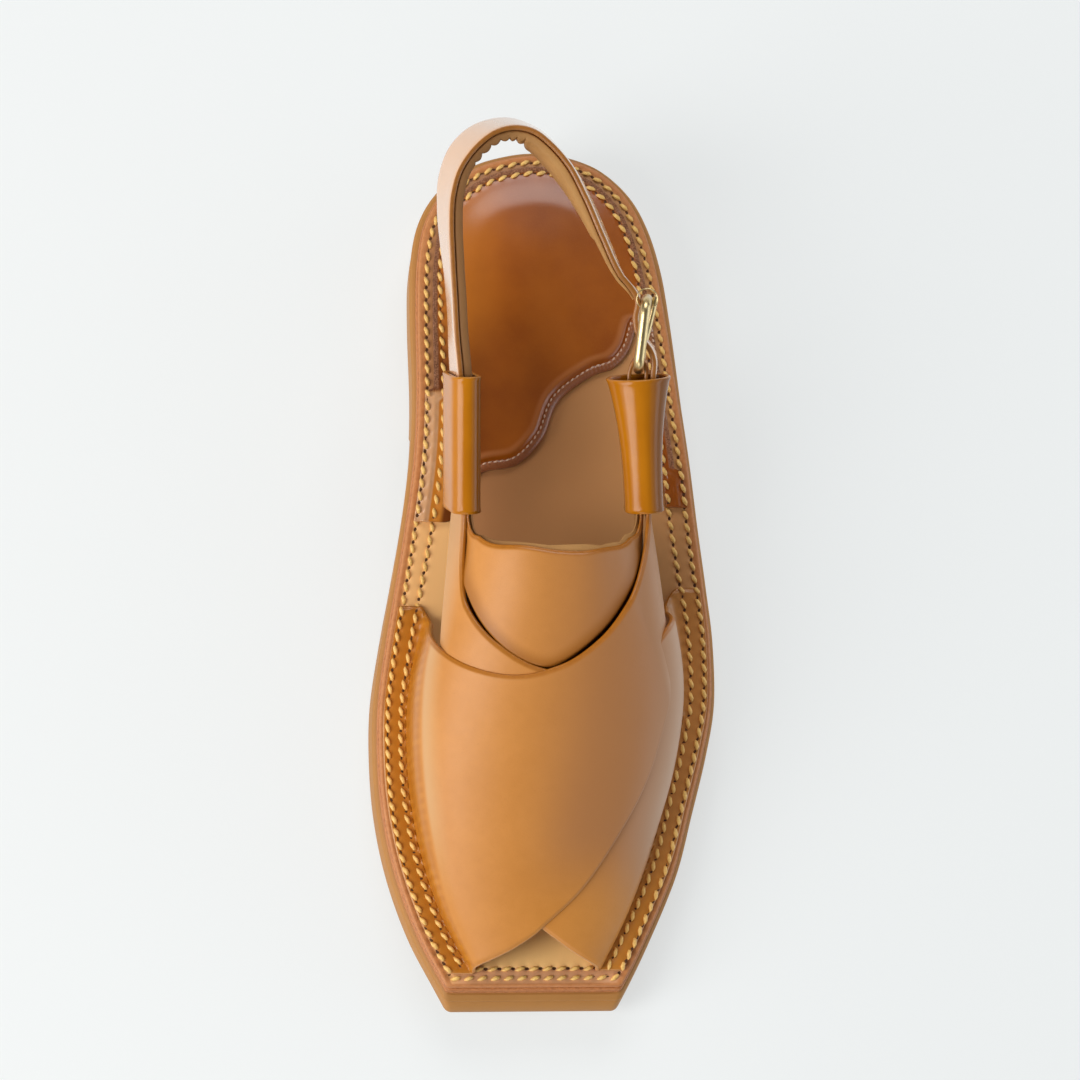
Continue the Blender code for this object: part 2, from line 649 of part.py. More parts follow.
def build_heel_cover():
    """Sheet ruled from the S-shaped front edge to the rim round the heel, padded inside."""
    rows = spline(HEEL_FRONT, HEEL_COLUMNS)
    front, share = rows[:, :2], np.clip(rows[:, 2], 0.0, 1.0)
    edge = edge_curve(inset(HEEL_FLANGE))
    tip = int(np.argmax(edge[:, 1]))
    start = int(np.argmin(np.abs(edge[:tip, 1] - HEEL_FRONT[0].y)))
    end = tip + int(np.argmin(np.abs(edge[tip:, 1] - HEEL_FRONT[-1].y)))
    rim = even_spline(edge[start:end + 1], RIM_SAMPLES)
    blend = smoothstep(np.linspace(0.0, 1.0, HEEL_ROWS))[:, None, None]
    plan = front * (1 - blend) + resample(rim, share) * blend
    floor = deck(plan[..., 1]) + GAP
    swell = (smoothstep((plan_distance(plan, rim) - PAD_START) / PAD_RUN)
             * smoothstep(plan_distance(plan, spline(front, RIM_SAMPLES)) / PAD_RUN))
    top = np.dstack([plan, floor + HEEL_WALL + HEEL_PAD * swell])
    add_piece("heel_cover", slab(top, np.dstack([plan, floor])), HEEL_LEATHER)


# --------------------------------------------------------------------- upper pieces
def draw_arm(grid, axes, layer, reach):
    """Bend the last rows of a strap's grid into a sleeve, upright and flat at layer."""
    along = np.linspace(ARM_START, reach, ARM_ROWS)[:, None]
    up = np.linspace(ARM_HEIGHT / 2, -ARM_HEIGHT / 2, grid.shape[1])
    goal = place(axes, along, layer, up)
    weight = smoothstep((along - ARM_START) / -ARM_START)[..., None]
    grid[-ARM_ROWS:] = grid[-ARM_ROWS:] * (1 - weight) + goal * weight


def ruled(top_edge, low_edge, columns, margin):
    """Grid of turn and y between two edges; margin is where its raw stitched edge runs."""
    top, low = spline(top_edge, PANEL_ROWS), spline(low_edge, PANEL_ROWS)
    if margin is not None:
        top = np.vstack([(margin, top[0, 1]), top])
        low = np.vstack([(margin, low[0, 1]), low])
    share = np.linspace(0.0, 1.0, columns)[None, :, None]
    grid = top[:, None] * (1 - share) + low[:, None] * share
    return grid[..., 0], grid[..., 1]


def panel_slab(turn, y, lift, wall, arms):
    """Wall between the last lifted by lift and wall above it, each end drawn into a sleeve."""
    inner, outer = last_point(turn, y, lift), last_point(turn, y, lift + wall)
    for axes, layer, reach, step in arms:
        draw_arm(inner[::step], axes, layer, reach)
        draw_arm(outer[::step], axes, layer + wall, reach)
    return slab(outer, inner)


def build_upper():
    """Three straps on one last: over-panel, under-panel and instep band, joined as one."""
    turn, y = ruled(OVER_SCOOP, OVER_FREE, PANEL_COLUMNS, -MARGIN_TURN)
    lift = OVER_LIFT * smoothstep((turn - WALL_SHARE) / OVER_LIFT_TURN)
    arms = ((AXES_LATERAL, OVER_LAYER, ARM_END, 1),)
    upper = add_piece("upper", panel_slab(turn, y, lift, PANEL_WALL, arms), UPPER_LEATHER)

    turn, y = ruled(UNDER_SCOOP, UNDER_FREE, PANEL_COLUMNS, 1 + MARGIN_TURN)
    arms = ((AXES_MEDIAL, UNDER_LAYER, ARM_END, 1),)
    under = panel_slab(turn, y, np.zeros_like(turn), PANEL_WALL, arms)
    combine(upper, add_piece("under_panel", under, UPPER_LEATHER), 'UNION')

    turn, y = ruled(BAND_REAR, BAND_FRONT, BAND_COLUMNS, None)
    start, end = BAND_CLEAR_TURN
    lift = BAND_LIFT - BAND_CLEAR * smoothstep((turn - start) / (end - start))
    arms = ((AXES_LATERAL, BAND_LATERAL_LAYER, BAND_END, 1),
            (AXES_MEDIAL, BAND_MEDIAL_LAYER, BAND_END, -1))
    band = panel_slab(turn, y, lift, BAND_WALL, arms)
    combine(upper, add_piece("instep_band", band, UPPER_LEATHER), 'UNION')


def sleeve_section(sleeve, share, depth):
    """Upright loop with round ends at a share of a sleeve's length, depth inside its face."""
    opening = share ** sleeve.flare
    across = sleeve.across_front + (sleeve.across_rear - sleeve.across_front) * opening
    height = sleeve.up_front + (sleeve.up_rear - sleeve.up_front) * opening
    radius = across / 2 - depth
    swing = (np.arange(SLEEVE_SIDES) + 0.5) / SLEEVE_SIDES * 2 * math.pi
    out = radius * np.cos(swing)
    up = radius * np.sin(swing) + np.sign(np.sin(swing)) * (height - across) / 2
    length = np.linalg.norm(np.subtract(sleeve.axes.rear, sleeve.axes.front))
    return place(sleeve.axes, share * length, out, up)


def build_sleeve(sleeve):
    """Leather tube, open at both ends."""
    shares = np.linspace(0.0, 1.0, FLARED_SECTIONS if sleeve.flare > 1 else 2)
    outer = [sleeve_section(sleeve, share, 0.0) for share in shares]
    inner = [sleeve_section(sleeve, share, SLEEVE_WALL) for share in shares[::-1]]
    add_piece(sleeve.name, sweep(outer + inner, True), SLEEVE_LEATHER)


# ------------------------------------------------------------- heel strap and buckle
def strip_axes(path):
    """Square axes across a path whose columns are centre, upward direction and height."""
    along = unit(np.gradient(path[:, :3], axis=0))
    ups = path[:, 3:6]
    ups = unit(ups - along * (ups * along).sum(axis=1, keepdims=True))
    return np.cross(along, ups), ups


def strip(path, axes, walls):
    """Flat strip on edge along a path, its four long arrises eased."""
    sections = []
    for row, inward, up, wall in zip(path, *axes, walls):
        x, z, ease = wall / 2, row[6] / 2, wall * EASE_SHARE
        corners = ((x, z - ease), (x - ease, z), (ease - x, z), (-x, z - ease),
                   (-x, ease - z), (ease - x, -z), (x - ease, -z), (x, ease - z))
        sections.append(np.array([row[:3] + inward * a + up * b for a, b in corners]))
    return sweep(sections, False)


def way(axes, points, height):
    """Path rows of a table of way points in some axes."""
    up = directions(axes)[2]
    return [[*place(axes, np.array(p.along), np.array(p.out), np.array(0.0)), *up, height]
            for p in points]


def crest_way():
    """Path rows of the heel strap's centre from the rows of its crest."""
    top = np.array([(row.x, row.y, row.z) for row in CREST])
    along = unit(np.gradient(top * (1, 1, 0), axis=0))
    level = np.cross(along, (0.0, 0.0, 1.0))
    lean = np.radians([row.lean for row in CREST])[:, None]
    up = np.cos(lean) * (0.0, 0.0, 1.0) + np.sin(lean) * level
    inward = np.cos(lean) * level - np.sin(lean) * (0.0, 0.0, 1.0)
    heights = np.array([[row.height] for row in CREST])
    return np.hstack([top - up * heights / 2 + inward * STRAP_WALL / 2, up, heights])


def strap_path():
    """Even samples along the heel strap: centre, upward direction and height."""
    length = np.linalg.norm(np.subtract(AXES_MEDIAL.rear, AXES_MEDIAL.front))
    start = (WayPoint(STRAP_START, STRAP_SIDE), WayPoint(length - STRAP_LEAVE, STRAP_SIDE))
    return even_spline(np.vstack([
        way(AXES_MEDIAL, start, STRAP_NARROW),
        crest_way(),
        way(AXES_BUCKLE, STRAP_IN_BUCKLE, TAIL_HEIGHT),
        way(AXES_LATERAL, TAIL_IN_SLEEVE, TAIL_HEIGHT),
    ]), STRAP_SAMPLES)


def build_heel_strap():
    """Strap from the medial sleeve round the heel, through the buckle and into the other,
    and the soft lining on its inner face, which thins down short of the buckle."""
    path = strap_path()
    axes = strip_axes(path)
    strap = add_piece("heel_strap", strip(path, axes, np.full(len(path), STRAP_WALL)),
                      UPPER_LEATHER)
    cut_slot(strap, STRAP_HOLE)

    run = slice(*LINING_SAMPLES)
    inner, axes = path[run].copy(), (axes[0][run], axes[1][run])
    walls = np.interp(np.arange(*LINING_SAMPLES), LINING_TAPER, (LINING_WALL, LINING_TIP))
    inner[:, :3] += axes[0] * (STRAP_WALL / 2 + GAP + walls[:, None] / 2)
    inner[:, 6] -= LINING_DROP
    add_piece("heel_strap_lining", strip(inner, axes, walls), LINING)


def cut_slot(strap, hole):
    """Cut a slot round the prong's way, a box in the buckle's axes, out of a strap."""
    out = hole.out + hole.depth / 2 * np.array([-1, 1, 1, -1])
    up = hole.height / 2 * np.array([-1, -1, 1, 1])
    ends = [place(AXES_BUCKLE, hole.along + side * hole.length / 2, out, up) for side in (-1, 1)]
    combine(strap, add_piece(hole.name, sweep(ends, False), BRASS), 'DIFFERENCE')


def round_wire(centres, sides_out, ups, diameter, closed):
    """Round bar along a path; sides_out and ups span each of its sections."""
    swing = (np.arange(WIRE_SIDES) + 0.5) / WIRE_SIDES * 2 * math.pi
    sections = [centre + diameter / 2 * (np.outer(np.cos(swing), side) + np.outer(np.sin(swing), up))
                for centre, side, up in zip(centres, sides_out, ups)]
    return sweep(sections, closed)


def build_buckle():
    """Rounded rectangle of round wire, standing on edge along the strap, and its pin."""
    along, out, up = directions(AXES_BUCKLE)
    span = np.linalg.norm(np.subtract(AXES_BUCKLE.rear, AXES_BUCKLE.front))
    rise = (BUCKLE_HEIGHT - WIRE) / 2
    near, far, high = BUCKLE_CORNER, span - BUCKLE_CORNER, rise - BUCKLE_CORNER
    centres, spokes = [], []
    for quarter, (a, b) in enumerate(((far, high), (near, high), (near, -high), (far, -high))):
        corner = place(AXES_BUCKLE, np.array(a), np.array(0.0), np.array(b))
        for step in range(BUCKLE_CORNER_STEPS + 1):
            swing = (quarter + step / BUCKLE_CORNER_STEPS) * math.pi / 2
            spoke = math.cos(swing) * along + math.sin(swing) * up
            centres.append(corner + BUCKLE_CORNER * spoke)
            spokes.append(spoke)
    outs = [out] * len(centres)
    add_piece("buckle_frame", round_wire(centres, spokes, outs, WIRE, True), BRASS)

    ends = np.array(way(AXES_BUCKLE, PRONG_ENDS, 0.0))[:, :3]
    pin = np.linspace(ends[0], ends[1], 2)
    side = np.cross(unit(pin[1] - pin[0]), up)
    add_piece("buckle_prong", round_wire(pin, [side] * 2, [up] * 2, PRONG, False), BRASS)


def build_buckle_loop():
    """Folded strip round the frame's front bar, its two legs in the lateral sleeve."""
    radius = WIRE / 2 + GAP + LOOP_WALL / 2
    swing = np.linspace(-math.pi / 2, math.pi / 2, LOOP_STEPS + 1)
    bend = [WayPoint(radius * math.cos(s), radius * math.sin(s)) for s in swing]
    path = np.vstack([
        way(AXES_LATERAL, INNER_LEG, LOOP_HEIGHT),
        way(AXES_BUCKLE, bend, LOOP_HEIGHT),
        way(AXES_LATERAL, OUTER_LEG, LOOP_HEIGHT),
    ])
    loop = add_piece("buckle_loop", strip(path, strip_axes(path), np.full(len(path), LOOP_WALL)),
                     UPPER_LEATHER)
    cut_slot(loop, LOOP_HOLE)


def clear_scene():
    for old in list(bpy.data.objects):
        bpy.data.objects.remove(old, do_unlink=True)


clear_scene()
build_outsole()
build_board("midsole", INSOLE_WALL + GAP, MIDSOLE_BOARD, EDGE_LEATHER)
build_board("insole", 0.0, INSOLE_BOARD, DECK_LEATHER)
build_heel_cover()
build_upper()
for sleeve_row in SLEEVES:
    build_sleeve(sleeve_row)
build_heel_strap()
build_buckle()
build_buckle_loop()
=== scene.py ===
"""Looks of the kaptan chappal: every leather, rubber and brass surface of the left shoe,
its stitches and its puckered linings, with the floor, the light and the camera.

Tables are in millimetres, in the part's design axes: X runs from the medial (-) to the
lateral (+) side, -Y is the toe, +Y the heel, +Z up. make_piece() turns them into metres.
"""
import math
from collections import namedtuple

import bmesh
import bpy
import numpy as np
from mathutils import Matrix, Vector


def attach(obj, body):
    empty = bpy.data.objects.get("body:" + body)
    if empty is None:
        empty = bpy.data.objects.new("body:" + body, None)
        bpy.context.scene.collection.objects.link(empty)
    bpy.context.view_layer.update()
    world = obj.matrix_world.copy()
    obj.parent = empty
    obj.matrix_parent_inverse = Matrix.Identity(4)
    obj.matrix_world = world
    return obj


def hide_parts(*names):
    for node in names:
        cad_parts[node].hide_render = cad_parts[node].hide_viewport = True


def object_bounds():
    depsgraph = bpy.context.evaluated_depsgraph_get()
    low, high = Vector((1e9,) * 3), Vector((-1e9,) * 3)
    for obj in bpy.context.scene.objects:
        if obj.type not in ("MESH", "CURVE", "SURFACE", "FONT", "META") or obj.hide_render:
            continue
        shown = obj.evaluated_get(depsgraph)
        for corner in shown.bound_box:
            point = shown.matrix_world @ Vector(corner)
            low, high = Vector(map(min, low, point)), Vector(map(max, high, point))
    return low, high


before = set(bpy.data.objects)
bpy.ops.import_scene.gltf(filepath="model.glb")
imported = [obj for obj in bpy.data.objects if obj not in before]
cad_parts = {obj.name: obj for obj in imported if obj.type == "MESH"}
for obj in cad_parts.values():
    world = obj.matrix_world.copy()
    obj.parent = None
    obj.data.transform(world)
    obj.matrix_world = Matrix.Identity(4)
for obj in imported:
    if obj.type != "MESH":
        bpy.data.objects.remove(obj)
cad_box = [list(corner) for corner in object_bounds()]

MM = 0.001
ORIGIN = (2.5, 4.35)     # where the bounding box's centre lies in the tables' X and Y
GAP = 0.3                # running gap between pieces that touch


# ---------------------------------------------------------------- driving sizes
TOE_MEDIAL_Y = -134.6    # front line of the leather edge, at its medial corner
TOE_LATERAL_Y = -133.9   # and at its lateral corner
HEEL_TIP = (-0.6, 146.8)
TOE_CORNER = 1.2         # rounding of the two toe corners
INSOLE_WALL = 1.8
MIDSOLE_WALL = 3.0
PANEL_EDGE = 2.4         # inset of the panels' raw edge
CREASE = 9.8             # inset of the crease where a panel leaves the insole
PANEL_WALL = 1.8
BAND_WALL = 2.4          # leather and lining of the instep band
OVER_LIFT = 1.1          # the over-panel rides this much above the under-panel
OVER_LIFT_TURN = 0.15    # and climbs there in this much of the turn
BAND_LIFT = -1.7         # the band lies under both
BAND_CLEAR = 0.8         # and drops clear of the over-panel's strap
BAND_CLEAR_TURN = (0.52, 0.62)
HEEL_FLANGE = 5.6        # inset of the heel cover's raw edge, between the stitch rows
HEEL_WALL = 1.3
HEEL_PAD = 2.5           # how far the padded field stands above the flange
PAD_RUN = 5.0            # width of the pad's slope at the front edge
SLEEVE_WALL = 1.4
ARM_HEIGHT = 18.8        # the upper's arms inside the sleeves
STRAP_WALL = 2.0
STRAP_HEIGHT = 20.0
TAIL_HEIGHT = 15.0
WIRE = 3.0               # diameter of the buckle's wire
BUCKLE_HEIGHT = 23.4
BUCKLE_CORNER = 4.0
PRONG = 2.0
LOOP_WALL = 1.3
LOOP_HEIGHT = 13.0
FAR = 9.0                # distance that counts as far away in a stored value


# ------------------------------------------------------------------------ tables
def table(kind, *rows):
    """Rows of a table with the named columns of kind."""
    return tuple(kind(*row) for row in rows)


# Plan of the leather edge: where its medial and lateral sides run at each station.
EdgeRow = namedtuple("EdgeRow", "y medial lateral")
EDGE = table(
    EdgeRow,
    (-150.0, -21.5, 17.0),
    (-132.0, -31.2, 27.6),
    (-115.0, -40.0, 36.2),
    (-95.0, -47.1, 44.8),
    (-75.0, -51.3, 50.2),
    (-55.0, -52.9, 55.2),
    (-38.0, -52.6, 58.0),
    (-18.0, -50.1, 57.6),
    (0.0, -47.3, 55.4),
    (20.0, -44.4, 52.6),
    (42.0, -42.0, 49.7),
    (65.0, -41.4, 46.2),
    (90.0, -42.0, 42.4),
    (108.0, -41.7, 39.1),
    (122.0, -39.2, 34.9),
    (133.0, -32.9, 28.9),
    (141.5, -22.4, 19.6),
    (145.6, -10.6, 9.2),
)

# Side view of the sole: height of the ground side and of the foot side.
SoleRow = namedtuple("SoleRow", "y ground deck")
SOLE = table(
    SoleRow,
    (-150.0, 10.6, 23.4),
    (-135.0, 6.4, 20.6),
    (-118.0, 3.0, 18.5),
    (-100.0, 0.8, 17.2),
    (-85.0, 0.0, 16.6),
    (-60.0, 0.0, 16.1),
    (-30.0, 0.0, 17.0),
    (-12.0, 1.4, 18.4),
    (10.0, 4.4, 20.5),
    (30.0, 6.6, 22.6),
    (49.0, 7.6, 24.6),
    (70.0, 7.6, 26.0),
    (100.0, 7.6, 26.9),
    (160.0, 7.6, 27.1),
)
BREAST_Y = 50.0          # front of the heel; behind it the ground side is z = 0
BREAST_RUN = 2.5

# Rings round the edge of the sole: how far each stands out from the leather edge at the
# front line, along the forefoot, at the waist and round the heel.
Flare = namedtuple("Flare", "toe fore waist heel")
FLARE_FORE_Y = -40.0     # the sides' flare changes between these stations
FLARE_WAIST_Y = (25.0, 60.0)
FLARE_HEEL_Y = 105.0

# Side wall of the outsole: its flare, and its height as a share of the rubber's thickness
# and an offset from there.
WallRow = namedtuple("WallRow", "flare share rise")

# The two leather boards of the sole: flare and drop below the board's face.
BoardRow = namedtuple("BoardRow", "flare drop")

# Cross-sections of the last: half arches that stand on two concave walls.
# medial and lateral are where the walls turn over, above the deck by wall; crown is the
# height of the arch and fullness its superellipse power.
LastRow = namedtuple("LastRow", "y medial lateral wall crown fullness")
LAST = table(
    LastRow,
    (-140.0, -16.0, 11.0, 2.0, 6.0, 1.9),
    (-128.0, -20.5, 17.0, 3.0, 10.0, 1.9),
    (-110.0, -29.5, 26.0, 5.0, 17.0, 1.9),
    (-85.0, -37.0, 35.0, 8.0, 27.0, 1.9),
    (-60.0, -40.5, 42.0, 10.0, 36.5, 2.0),
    (-35.0, -40.0, 44.5, 11.0, 45.0, 2.1),
    (-12.0, -34.5, 40.5, 11.0, 50.5, 2.3),
    (8.0, -30.5, 34.0, 10.0, 53.0, 2.5),
    (30.0, -29.0, 31.0, 10.0, 54.0, 2.6),
)
WALL_SHARE = 0.1         # share of the section's parameter that each wall takes
MARGIN_TURN = 0.06       # parameter beyond the crease that reaches the panels' raw edge

# Edges of the three straps of the upper on the last: turn goes from 0 at the medial crease
# over the crown at 0.5 to 1 at the lateral crease. The last row is inside the sleeve.
StrapEdge = namedtuple("StrapEdge", "turn y")
OVER_SCOOP = table(
    StrapEdge,
    (0.0, -9.0), (0.05, -13.5), (0.19, -24.2), (0.32, -34.0), (0.42, -37.8), (0.50, -35.0),
    (0.565, -27.0), (0.62, -16.5), (0.68, -4.0), (0.73, 8.0), (0.76, 20.0),
)
OVER_FREE = table(
    StrapEdge,
    (0.0, -128.5), (0.16, -126.5), (0.31, -123.8), (0.43, -119.5), (0.53, -112.5),
    (0.63, -99.5), (0.71, -76.0), (0.745, -50.0), (0.77, -26.0), (0.80, -6.0), (0.86, 14.0),
)
UNDER_SCOOP = table(
    StrapEdge,
    (1.0, -1.5), (0.93, -9.5), (0.77, -20.0), (0.67, -30.0), (0.57, -36.5), (0.47, -36.0),
    (0.38, -28.0), (0.30, -17.0), (0.245, -6.0), (0.21, 5.0), (0.20, 18.0),
)
UNDER_FREE = table(
    StrapEdge,
    (1.0, -127.0), (0.83, -125.8), (0.68, -122.8), (0.57, -118.0), (0.46, -110.0),
    (0.37, -96.0), (0.30, -72.0), (0.26, -48.0), (0.22, -26.0), (0.17, -8.0), (0.14, 12.0),
)
BAND_REAR = table(
    StrapEdge,
    (0.22, 18.0), (0.25, 11.0), (0.29, 6.0), (0.36, 2.4), (0.50, 0.6), (0.62, 2.2),
    (0.69, 6.5), (0.73, 11.0), (0.76, 18.0),
)
BAND_FRONT = table(
    StrapEdge,
    (0.15, 12.0), (0.17, -1.0), (0.23, -14.0), (0.33, -33.0), (0.50, -45.0), (0.65, -33.0),
    (0.76, -14.0), (0.82, -1.0), (0.86, 12.0),
)

# Front edge of the heel cover, from its medial wing round the S, up to the lateral margin
# and back along its lateral wing; share is how far round the rim each row is ruled to.
FrontRow = namedtuple("FrontRow", "x y share")
HEEL_FRONT = table(
    FrontRow,
    (-37.6, 19.4, 0.0),
    (-29.5, 20.4, 0.03),
    (-24.5, 30.5, 0.11),
    (-19.0, 36.2, 0.19),
    (-8.0, 38.9, 0.29),
    (0.6, 47.9, 0.37),
    (5.6, 60.2, 0.45),
    (16.5, 69.0, 0.54),
    (24.2, 72.2, 0.61),
    (29.3, 78.3, 0.68),
    (32.2, 87.2, 0.76),
    (34.6, 86.6, 0.80),
    (36.6, 70.0, 0.85),
    (39.6, 46.0, 0.93),
    (42.4, 26.0, 1.0),
)

# Axes of a sleeve or of the buckle: centres of its front and rear ends, how far the top
# leans in and the side of the foot that it is on.
Axes = namedtuple("Axes", "front rear lean side")
AXES_MEDIAL = Axes((-28.1, 17.5, 51.5), (-29.3, 57.8, 66.5), 6.0, -1)
AXES_LATERAL = Axes((30.8, 18.8, 52.0), (27.4, 58.2, 66.6), 6.0, 1)
AXES_BUCKLE = Axes((27.4, 61.3, 68.4), (29.1, 81.4, 76.1), 6.0, 1)    # its two upright bars

# Outer size of a sleeve at its ends, and how late it opens out.
Sleeve = namedtuple("Sleeve", "name axes across_front across_rear up_front up_rear flare")
SLEEVES = (
    Sleeve("keeper_medial", AXES_MEDIAL, 9.6, 9.6, 24.0, 24.0, 1.0),
    Sleeve("keeper_lateral", AXES_LATERAL, 12.4, 20.4, 24.0, 23.0, 2.6),
)
ARM_START = -12.0        # where an arm starts to turn upright, before its sleeve's mouth
ARM_END = 19.0           # and where it ends inside
BAND_END = 18.4          # as do the band's arms, a little sooner
OVER_LAYER = 0.3         # each arm's inner face, outward from its sleeve's axis
UNDER_LAYER = -0.05
BAND_LATERAL_LAYER = -2.8
BAND_MEDIAL_LAYER = -1.75
STRAP_START = 22.0       # where the heel strap starts inside the medial sleeve
STRAP_LEAVE = 3.0        # how far from the sleeve's rear end it starts to turn
STRAP_SIDE = 1.6         # how far it lies off the sleeve's axis there
STRAP_NARROW = 17.0      # and how high it is there

# Outer top arris of the heel strap from the medial sleeve to the buckle, its lean from
# upright and its height there.
CrestRow = namedtuple("CrestRow", "x y z lean height")
CREST = table(
    CrestRow,
    (-32.9, 68.0, 80.9, 2.0, 18.6),
    (-33.9, 79.1, 84.5, 1.0, STRAP_HEIGHT),
    (-34.8, 89.6, 87.0, 2.0, STRAP_HEIGHT),
    (-35.4, 100.1, 89.6, 5.0, STRAP_HEIGHT),
    (-34.9, 110.9, 91.4, 10.0, STRAP_HEIGHT),
    (-32.6, 118.5, 92.6, 18.0, STRAP_HEIGHT),
    (-27.8, 125.3, 93.8, 27.0, STRAP_HEIGHT),
    (-21.4, 130.4, 94.8, 29.0, STRAP_HEIGHT),
    (-15.4, 132.2, 95.1, 27.0, STRAP_HEIGHT),
    (-8.8, 131.3, 95.1, 22.0, STRAP_HEIGHT),
    (-2.2, 126.6, 94.4, 18.0, 19.6),
    (2.8, 121.1, 93.4, 16.0, 19.2),
    (8.5, 111.1, 91.5, 16.0, 18.6),
    (14.2, 98.9, 89.1, 16.0, 17.6),
    (19.9, 87.9, 86.2, 15.0, 16.4),
)

# Way of the heel strap through the buckle and of the loop round its front bar: along from
# the front bar to the rear one, and outward from the frame's plane.
WayPoint = namedtuple("WayPoint", "along out")
STRAP_IN_BUCKLE = (
    WayPoint(21.6, -2.8),
    WayPoint(15.5, -2.7),
    WayPoint(12.0, -1.7),
    WayPoint(9.0, 0.6),
    WayPoint(6.0, 3.3),
    WayPoint(3.0, 4.6),
    WayPoint(-0.5, 4.9),
)
TAIL_IN_SLEEVE = (WayPoint(39.0, 4.6), WayPoint(32.0, 3.9), WayPoint(25.0, 3.2))
INNER_LEG = (WayPoint(25.0, -2.6), WayPoint(33.0, -2.5))
OUTER_LEG = (WayPoint(33.0, 0.0), WayPoint(25.0, -0.7))
PRONG_ENDS = (WayPoint(2.0, 0.2), WayPoint(24.0, 2.9))


# How finely surfaces are drawn.
WELD = 0.004             # points nearer than this become one
CHUNK = 4000             # points whose distances are worked out at one go
STATIONS = np.linspace(-126.0, 104.0, 401)      # along the sole's long sides
TOE_STATIONS = 13        # from there to the corners of the toe
TOE_CLEAR = 1.2          # the first of them is this far behind a corner's rounding
STATION_CLEAR = 0.2      # and at least this far ahead of the others
HEEL_STEPS = 56          # round each half of the heel
CORNER_STEPS = 10        # round a corner of the toe
CORNER_GROWTH = 0.25     # share of a ring's flare that widens the rounding
EDGE_STEPS = 40          # between two rows of EDGE
OUTLINE_STEPS = 2400     # round an outline that distances are measured from


# ------------------------------------------------------------------ curves, sections
def smooth(rows, column, at):
    """Cubic through a table's column, with the slope at each row taken from its neighbours."""
    station = np.array([row.y for row in rows])
    value = np.array([getattr(row, column) for row in rows])
    slope = np.gradient(value, station)
    low = np.clip(np.searchsorted(station, at) - 1, 0, len(station) - 2)
    run = station[low + 1] - station[low]
    t = np.clip((at - station[low]) / run, 0.0, 1.0)
    return (value[low] + (value[low + 1] - value[low]) * t * t * (3 - 2 * t)
            + run * slope[low] * (t ** 3 - 2 * t ** 2 + t)
            + run * slope[low + 1] * (t ** 3 - t ** 2))


def spline(points, count):
    """Catmull-Rom curve through points, with count samples at even parameters."""
    points = np.array(points, float)
    padded = np.vstack([2 * points[0] - points[1], points, 2 * points[-1] - points[-2]])
    at = np.linspace(0.0, len(points) - 1, count)
    low = np.minimum(at.astype(int), len(points) - 2)
    t = (at - low)[:, None]
    a, b, c, d = (padded[low + k] for k in range(4))
    return 0.5 * (2 * b + (c - a) * t + (2 * a - 5 * b + 4 * c - d) * t ** 2
                  + (3 * b - 3 * c + d - a) * t ** 3)


def even_spline(rows, count):
    """Smooth curve through rows whose first three columns are points, at even steps: a cubic
    between two rows, with the slopes at both taken over the distance between points."""
    steps = np.linalg.norm(np.diff(rows[:, :3], axis=0), axis=1)
    knots = np.concatenate([[0.0], np.cumsum(steps)])
    slopes = np.gradient(rows, knots, axis=0)
    at = np.linspace(0.0, knots[-1], count)
    low = np.clip(np.searchsorted(knots, at, side="right") - 1, 0, len(steps) - 1)
    step = steps[low][:, None]
    t = (at - knots[low])[:, None] / step
    start = 2 * t ** 3 - 3 * t ** 2 + 1
    return (rows[low] * start + rows[low + 1] * (1 - start)
            + slopes[low] * step * (t ** 3 - 2 * t ** 2 + t)
            + slopes[low + 1] * step * (t ** 3 - t ** 2))


def resample(curve, share):
    """Points of a sampled curve at the given shares of its samples, on straight lines."""
    at = np.linspace(0.0, 1.0, len(curve))
    return np.stack([np.interp(share, at, column) for column in curve.T], axis=1)


def unit(vectors):
    """Vectors divided by their own lengths."""
    return vectors / np.linalg.norm(vectors, axis=-1, keepdims=True)


def smoothstep(x):
    """0 below 0 and 1 above 1, and between them three x squared less two x cubed."""
    x = np.clip(x, 0.0, 1.0)
    return x * x * (3 - 2 * x)


def deck(y):
    """Height of the insole's face, which the foot stands on."""
    return smooth(SOLE, "deck", y)


def ground(y):
    """Height of the outsole's underside: toe spring, forefoot flat, arch, breast and heel."""
    rise = np.maximum(smooth(SOLE, "ground", y), 0.0)
    return rise * np.clip(1 - (y - BREAST_Y) / BREAST_RUN, 0.0, 1.0)


def edge_curve(flare):
    """The U of the leather edge, medial toe to heel to lateral toe, moved outward by a flare."""
    points = [(row.medial, row.y) for row in EDGE]
    points += [HEEL_TIP]
    points += [(row.lateral, row.y) for row in reversed(EDGE)]
    curve = spline(points, EDGE_STEPS * (len(points) - 1) + 1)
    along = unit(np.gradient(curve, axis=0))
    out = np.interp(curve[:, 1], (FLARE_FORE_Y, *FLARE_WAIST_Y, FLARE_HEEL_Y),
                    (flare.fore, flare.waist, flare.waist, flare.heel))
    return curve + out[:, None] * np.stack([-along[:, 1], along[:, 0]], axis=1)


def inset(width):
    """Flare of a ring that runs width inside the leather edge all round."""
    return Flare(-width, -width, -width, -width)


def edge_sides(flare, y):
    """Where the moved edge runs at stations y: x of its medial and of its lateral side, read
    off its curve on both sides of the heel's tip."""
    curve = edge_curve(flare)
    tip = int(np.argmax(curve[:, 1]))
    medial = np.interp(y, curve[:tip + 1, 1], curve[:tip + 1, 0])
    lateral = np.interp(y, curve[tip:, 1][::-1], curve[tip:, 0][::-1])
    return medial, lateral


